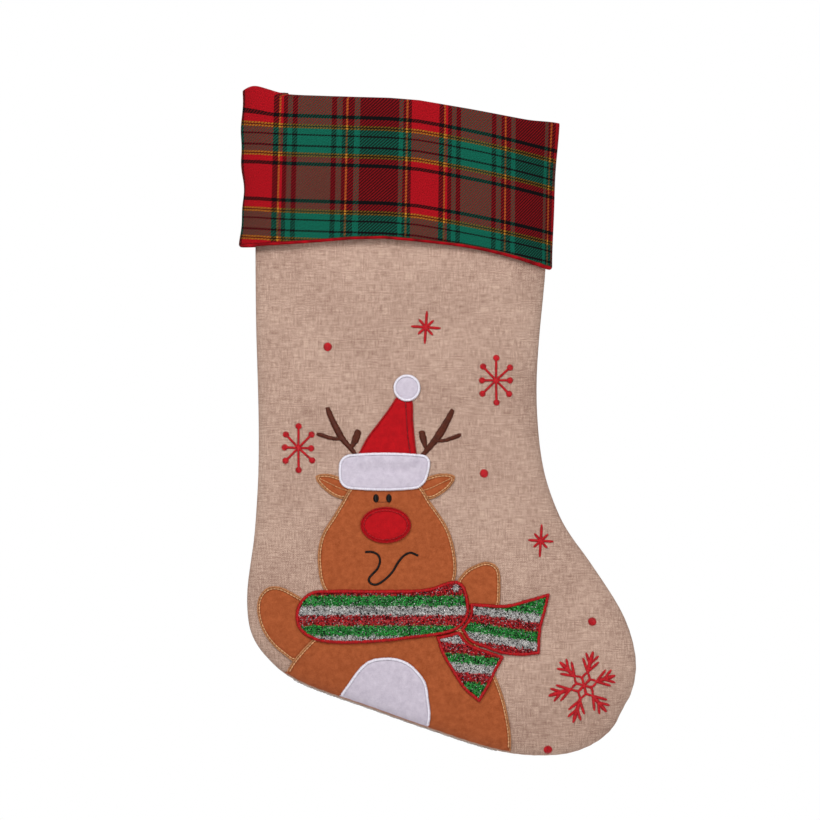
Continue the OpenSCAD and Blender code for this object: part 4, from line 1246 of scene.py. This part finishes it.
def scarf_piece(name, node, border_node, colour, seed):
    """Striped cloth, its flakes, and its satin border."""
    ring = smooth_loop(outline_of(node), 6)
    ring = slab(name, ring, 0.9 * MM, glitter_cloth, (node,), 1.4 * MM, colour)
    flakes(name + "_glitter", ring, colour, 2.0, seed=seed)
    stitches(name + "_border", crossing(ring, 1.9 * MM, 0.5 * MM, 0.4 * MM, True, 0.22 * MM, 0.2 * MM),
             satin_thread, (border_node,), 0.75 * MM, 0.27 * MM)


scarf_piece("lower_tail_cloth", "scarf_lower_tail", "lower_tail_border", lower_colour, 91)
scarf_piece("upper_tail_cloth", "scarf_upper_tail", "upper_tail_border", upper_colour, 92)
scarf_piece("wrap_cloth", "scarf_wrap", "scarf_wrap_border", wrap_colour, 93)
# %% [markdown]
# ## Inside the stocking
#
# Stiffening cloth lies behind the embroidery, and the raw edges of the linen are bound
# by an overlock machine. Neither shows from outside, but both can be seen through the
# mouth with a light.

# %% Backing and overlocked seam
backing_ring = resample(smooth_loop(outline_of("embroidery_backing"), 3), 2.5 * MM)
back_flat, back_tris, back_border = net(backing_ring, 6 * MM)
n = len(back_flat)
behind = -1.75 * MM
face, rear = skin(back_flat, np.full(n, behind)), skin(back_flat, np.full(n, behind - 0.35 * MM))
nxt = np.roll(back_border, -1)
rim = np.stack([back_border, n + back_border, n + nxt, nxt], axis=1)
backing_cloth = felt("nonwoven_stiffener", "#F4F2EC", "#E2DFD6")
backing = build("stiffener", np.concatenate([face, rear]), [back_tris, back_tris[:, ::-1] + n, rim],
                backing_cloth, ("embroidery_backing",))

# The binding starts and ends below the cuff's own seam, and has this many loops a side
LOOPS = 620
seam_at = np.linspace(60 * MM, seam_along[-1] - 60 * MM, LOOPS)
seam_path = np.stack([np.interp(seam_at, seam_along, seam_line[:, k]) for k in range(2)], axis=1)
way = np.gradient(seam_path, axis=0)
way /= np.linalg.norm(way, axis=1, keepdims=True)
left = np.stack([-way[:, 1], way[:, 0]], axis=1)
t = np.linspace(0, 1, 5)[None, :, None]
near, far = seam_path + left * 4.6 * MM, seam_path + left * 10.6 * MM + way * 0.8 * MM
wave_y = np.array([0.35, 0.8, 0.85, 0.8, 0.2])[None] * MM
threads_of_seam = []
for sign in (1, -1):
    flat = near[:, None] * (1 - t) + far[:, None] * t
    threads_of_seam.append(np.stack([flat[..., 0], SEAM_Y + sign * np.broadcast_to(wave_y, flat.shape[:2]),
                                     flat[..., 1]], axis=-1))
threads_of_seam = np.concatenate(threads_of_seam)
up_y = np.zeros_like(threads_of_seam)
up_y[:LOOPS, :, 1] = 1
up_y[LOOPS:, :, 1] = -1
tubes("overlock_loops", threads_of_seam, up_y, 0.55 * MM, seam_thread,
      ("overlocked_seam",), 0.5)

# %% [markdown]
# ## The hanging loop
#
# A narrow strip of the same tartan, folded and sewn to a flat strap. One end is sewn
# inside the mouth with a square and a cross of red thread. Outside, it is doubled to a
# loop that can hang down behind the cuff or stand up over the rim.

# %% A strap along a path
STRAP_W = 12 * MM


def strap(name, path, node, body, thick=1.15 * MM):
    """A rounded flat section, 12 mm wide, carried along a path given as (y, z) in mm."""
    dense = curve(path, 8) if len(path) < 12 else np.array(path) * MM
    along = np.concatenate([[0], np.cumsum(np.linalg.norm(np.diff(dense, axis=0), axis=1))])
    way = np.gradient(dense, axis=0)
    way /= np.maximum(np.linalg.norm(way, axis=1, keepdims=True), 1e-9)
    out = np.stack([-way[:, 1], way[:, 0]], axis=1)
    a = np.linspace(0, 2 * np.pi, 28, endpoint=False)
    power = lambda v, p: np.sign(v) * np.abs(v) ** p
    across, high = power(np.cos(a), 0.35) * STRAP_W / 2, power(np.sin(a), 0.6) * thick / 2
    rib = 1 - 0.25 * np.exp(-((np.abs(across) - STRAP_W / 2 + 1.4 * MM) / (0.5 * MM)) ** 2)
    high = high * rib
    x = np.broadcast_to(across[None], (len(dense), len(a)))
    y = dense[:, None, 0] + out[:, None, 0] * high[None]
    z = dense[:, None, 1] + out[:, None, 1] * high[None]
    points = np.stack([x, y, z], axis=-1).reshape(-1, 3)
    count, section = len(dense), len(a)
    body_faces = grid_faces(count, section, closed_cols=True)
    caps = np.stack([np.arange(section), (count - 1) * section + np.arange(section)[::-1]])
    uv = np.stack([np.broadcast_to(across[None] + 50 * MM, x.shape),
                   np.broadcast_to(along[:, None], x.shape)], axis=-1).reshape(-1, 2)
    piece = build(name, points, [body_faces[:, ::-1], caps[:, ::-1]], tartan_cloth, (node,),
                  body=body, uv=uv)


bend = [(3.6 - 4.25 * np.cos(a), -54.1 - 4.25 * np.sin(a)) for a in np.linspace(0, np.pi, 15)]
loop_path = ([(-0.62, z) for z in np.linspace(0.2, -52, 14)] + bend
             + [(7.85 + (0.66 - 7.85) * s, -53 + (-10 + 53) * s) for s in np.linspace(0.02, 1, 12)]
             + [(0.64, z) for z in np.linspace(-9, 0.2, 5)])
strap("tartan_loop", loop_path, "hanging_loop", "loop")
inner_y = SEAM_Y / MM + 0.3 + 0.65
anchor_path = [(-1.9, 0.0), (-5, 0.0), (-10, 0.0), (inner_y + 1.6, -0.05), (inner_y + 0.35, -0.6),
               (inner_y, -2), (inner_y, -6), (inner_y, -12), (inner_y, -17.8)]
strap("tartan_anchor", anchor_path, "loop_anchor", "stocking")

tack_y = (inner_y - 0.62) * MM
half = 4 * MM
square = [(-half, -half), (half, -half), (half, half), (-half, half), (-half, -half), (half, half),
          (half, -half), (-half, half)]
legs = []
for a, b in zip(square[:-1], square[1:]):
    a, b = np.array(a), np.array(b)
    count = int(np.linalg.norm(b - a) / (1.1 * MM))
    s = np.linspace(0, 1, count + 1)[:, None]
    line = a + (b - a) * s
    legs.append(np.stack([line[:-1], line[1:]], axis=1))
legs = np.concatenate(legs)
t = np.linspace(0, 1, 5)[None, :, None]
flat = legs[:, None, 0] * (1 - t) + legs[:, None, 1] * t
lift = 0.25 * MM * np.sin(np.linspace(0, np.pi, 5))[None]
tack_depth = tack_y - np.broadcast_to(lift, flat.shape[:2])
tack = np.stack([flat[..., 0], tack_depth, flat[..., 1] - 9 * MM], axis=-1)
tack_up = np.zeros_like(tack)
tack_up[..., 1] = -1
tubes("bar_tack_stitches", tack, tack_up, 0.32 * MM, red_thread, ("loop_bar_tack",))

# %% [markdown]
# ## Setting
#
# A pale floor well below, soft light from large lamps in front and a weaker one behind,
# and a camera straight in front at the height of the stocking's middle.

# %% Floor, lamps and camera
floor_z = cad_box[0][2] - 0.24
bpy.ops.mesh.primitive_circle_add(vertices=96, radius=0.8, fill_type="NGON", location=(0.09, 0, floor_z))
floor = bpy.context.object
floor.name = "floor"
floor_paint, floor_shader = new_material("pale_floor", Roughness=0.8)
link(floor_paint, add(floor_paint, "RGB").outputs[0], floor_shader, "Base Color")
floor_paint.node_tree.nodes["RGB"].outputs[0].default_value = linear("#F6F6F6")
floor.data.materials.append(floor_paint)

world = bpy.data.worlds.new("studio")
bpy.context.scene.world = world
world.use_nodes = True
sky = world.node_tree.nodes["Background"]
sky.inputs["Color"].default_value = (1, 1, 1, 1)
# The camera sees plain white, while the light that falls on the cloth is softer
seen = world.node_tree.nodes.new("ShaderNodeLightPath").outputs["Is Camera Ray"]
strength = world.node_tree.nodes.new("ShaderNodeMapRange")
world.node_tree.links.new(seen, strength.inputs["Value"])
strength.inputs["To Min"].default_value = 0.34
strength.inputs["To Max"].default_value = 1.0
world.node_tree.links.new(strength.outputs[0], sky.inputs["Strength"])


def lamp(name, place, size, watts, aim=(0.09, -0.03, -0.22)):
    """A square lamp that faces the middle of the stocking."""
    light = bpy.data.lights.new(name, "AREA")
    light.size = size
    light.energy = watts
    holder = bpy.data.objects.new(name, light)
    holder.location = place
    holder.rotation_euler = (Vector(aim) - Vector(place)).to_track_quat("-Z", "Y").to_euler()
    bpy.context.collection.objects.link(holder)


lamp("key", (-0.5, -1.1, 0.75), 0.5, 16)
lamp("fill", (0.9, -1.1, 0.1), 0.8, 6)
lamp("back", (0.5, 1.2, 0.5), 0.9, 8)

lens = bpy.data.cameras.new("camera")
lens.lens = 200
camera = bpy.data.objects.new("camera", lens)
bpy.context.collection.objects.link(camera)
camera.location = (0.0901, SEAM_Y - DEPTH / 4 - 3.1433, -0.2189)
camera.rotation_euler = (np.pi / 2, 0, 0)
bpy.context.scene.camera = camera
bpy.context.scene.view_settings.view_transform = "Standard"
bpy.context.scene.view_settings.look = "None"
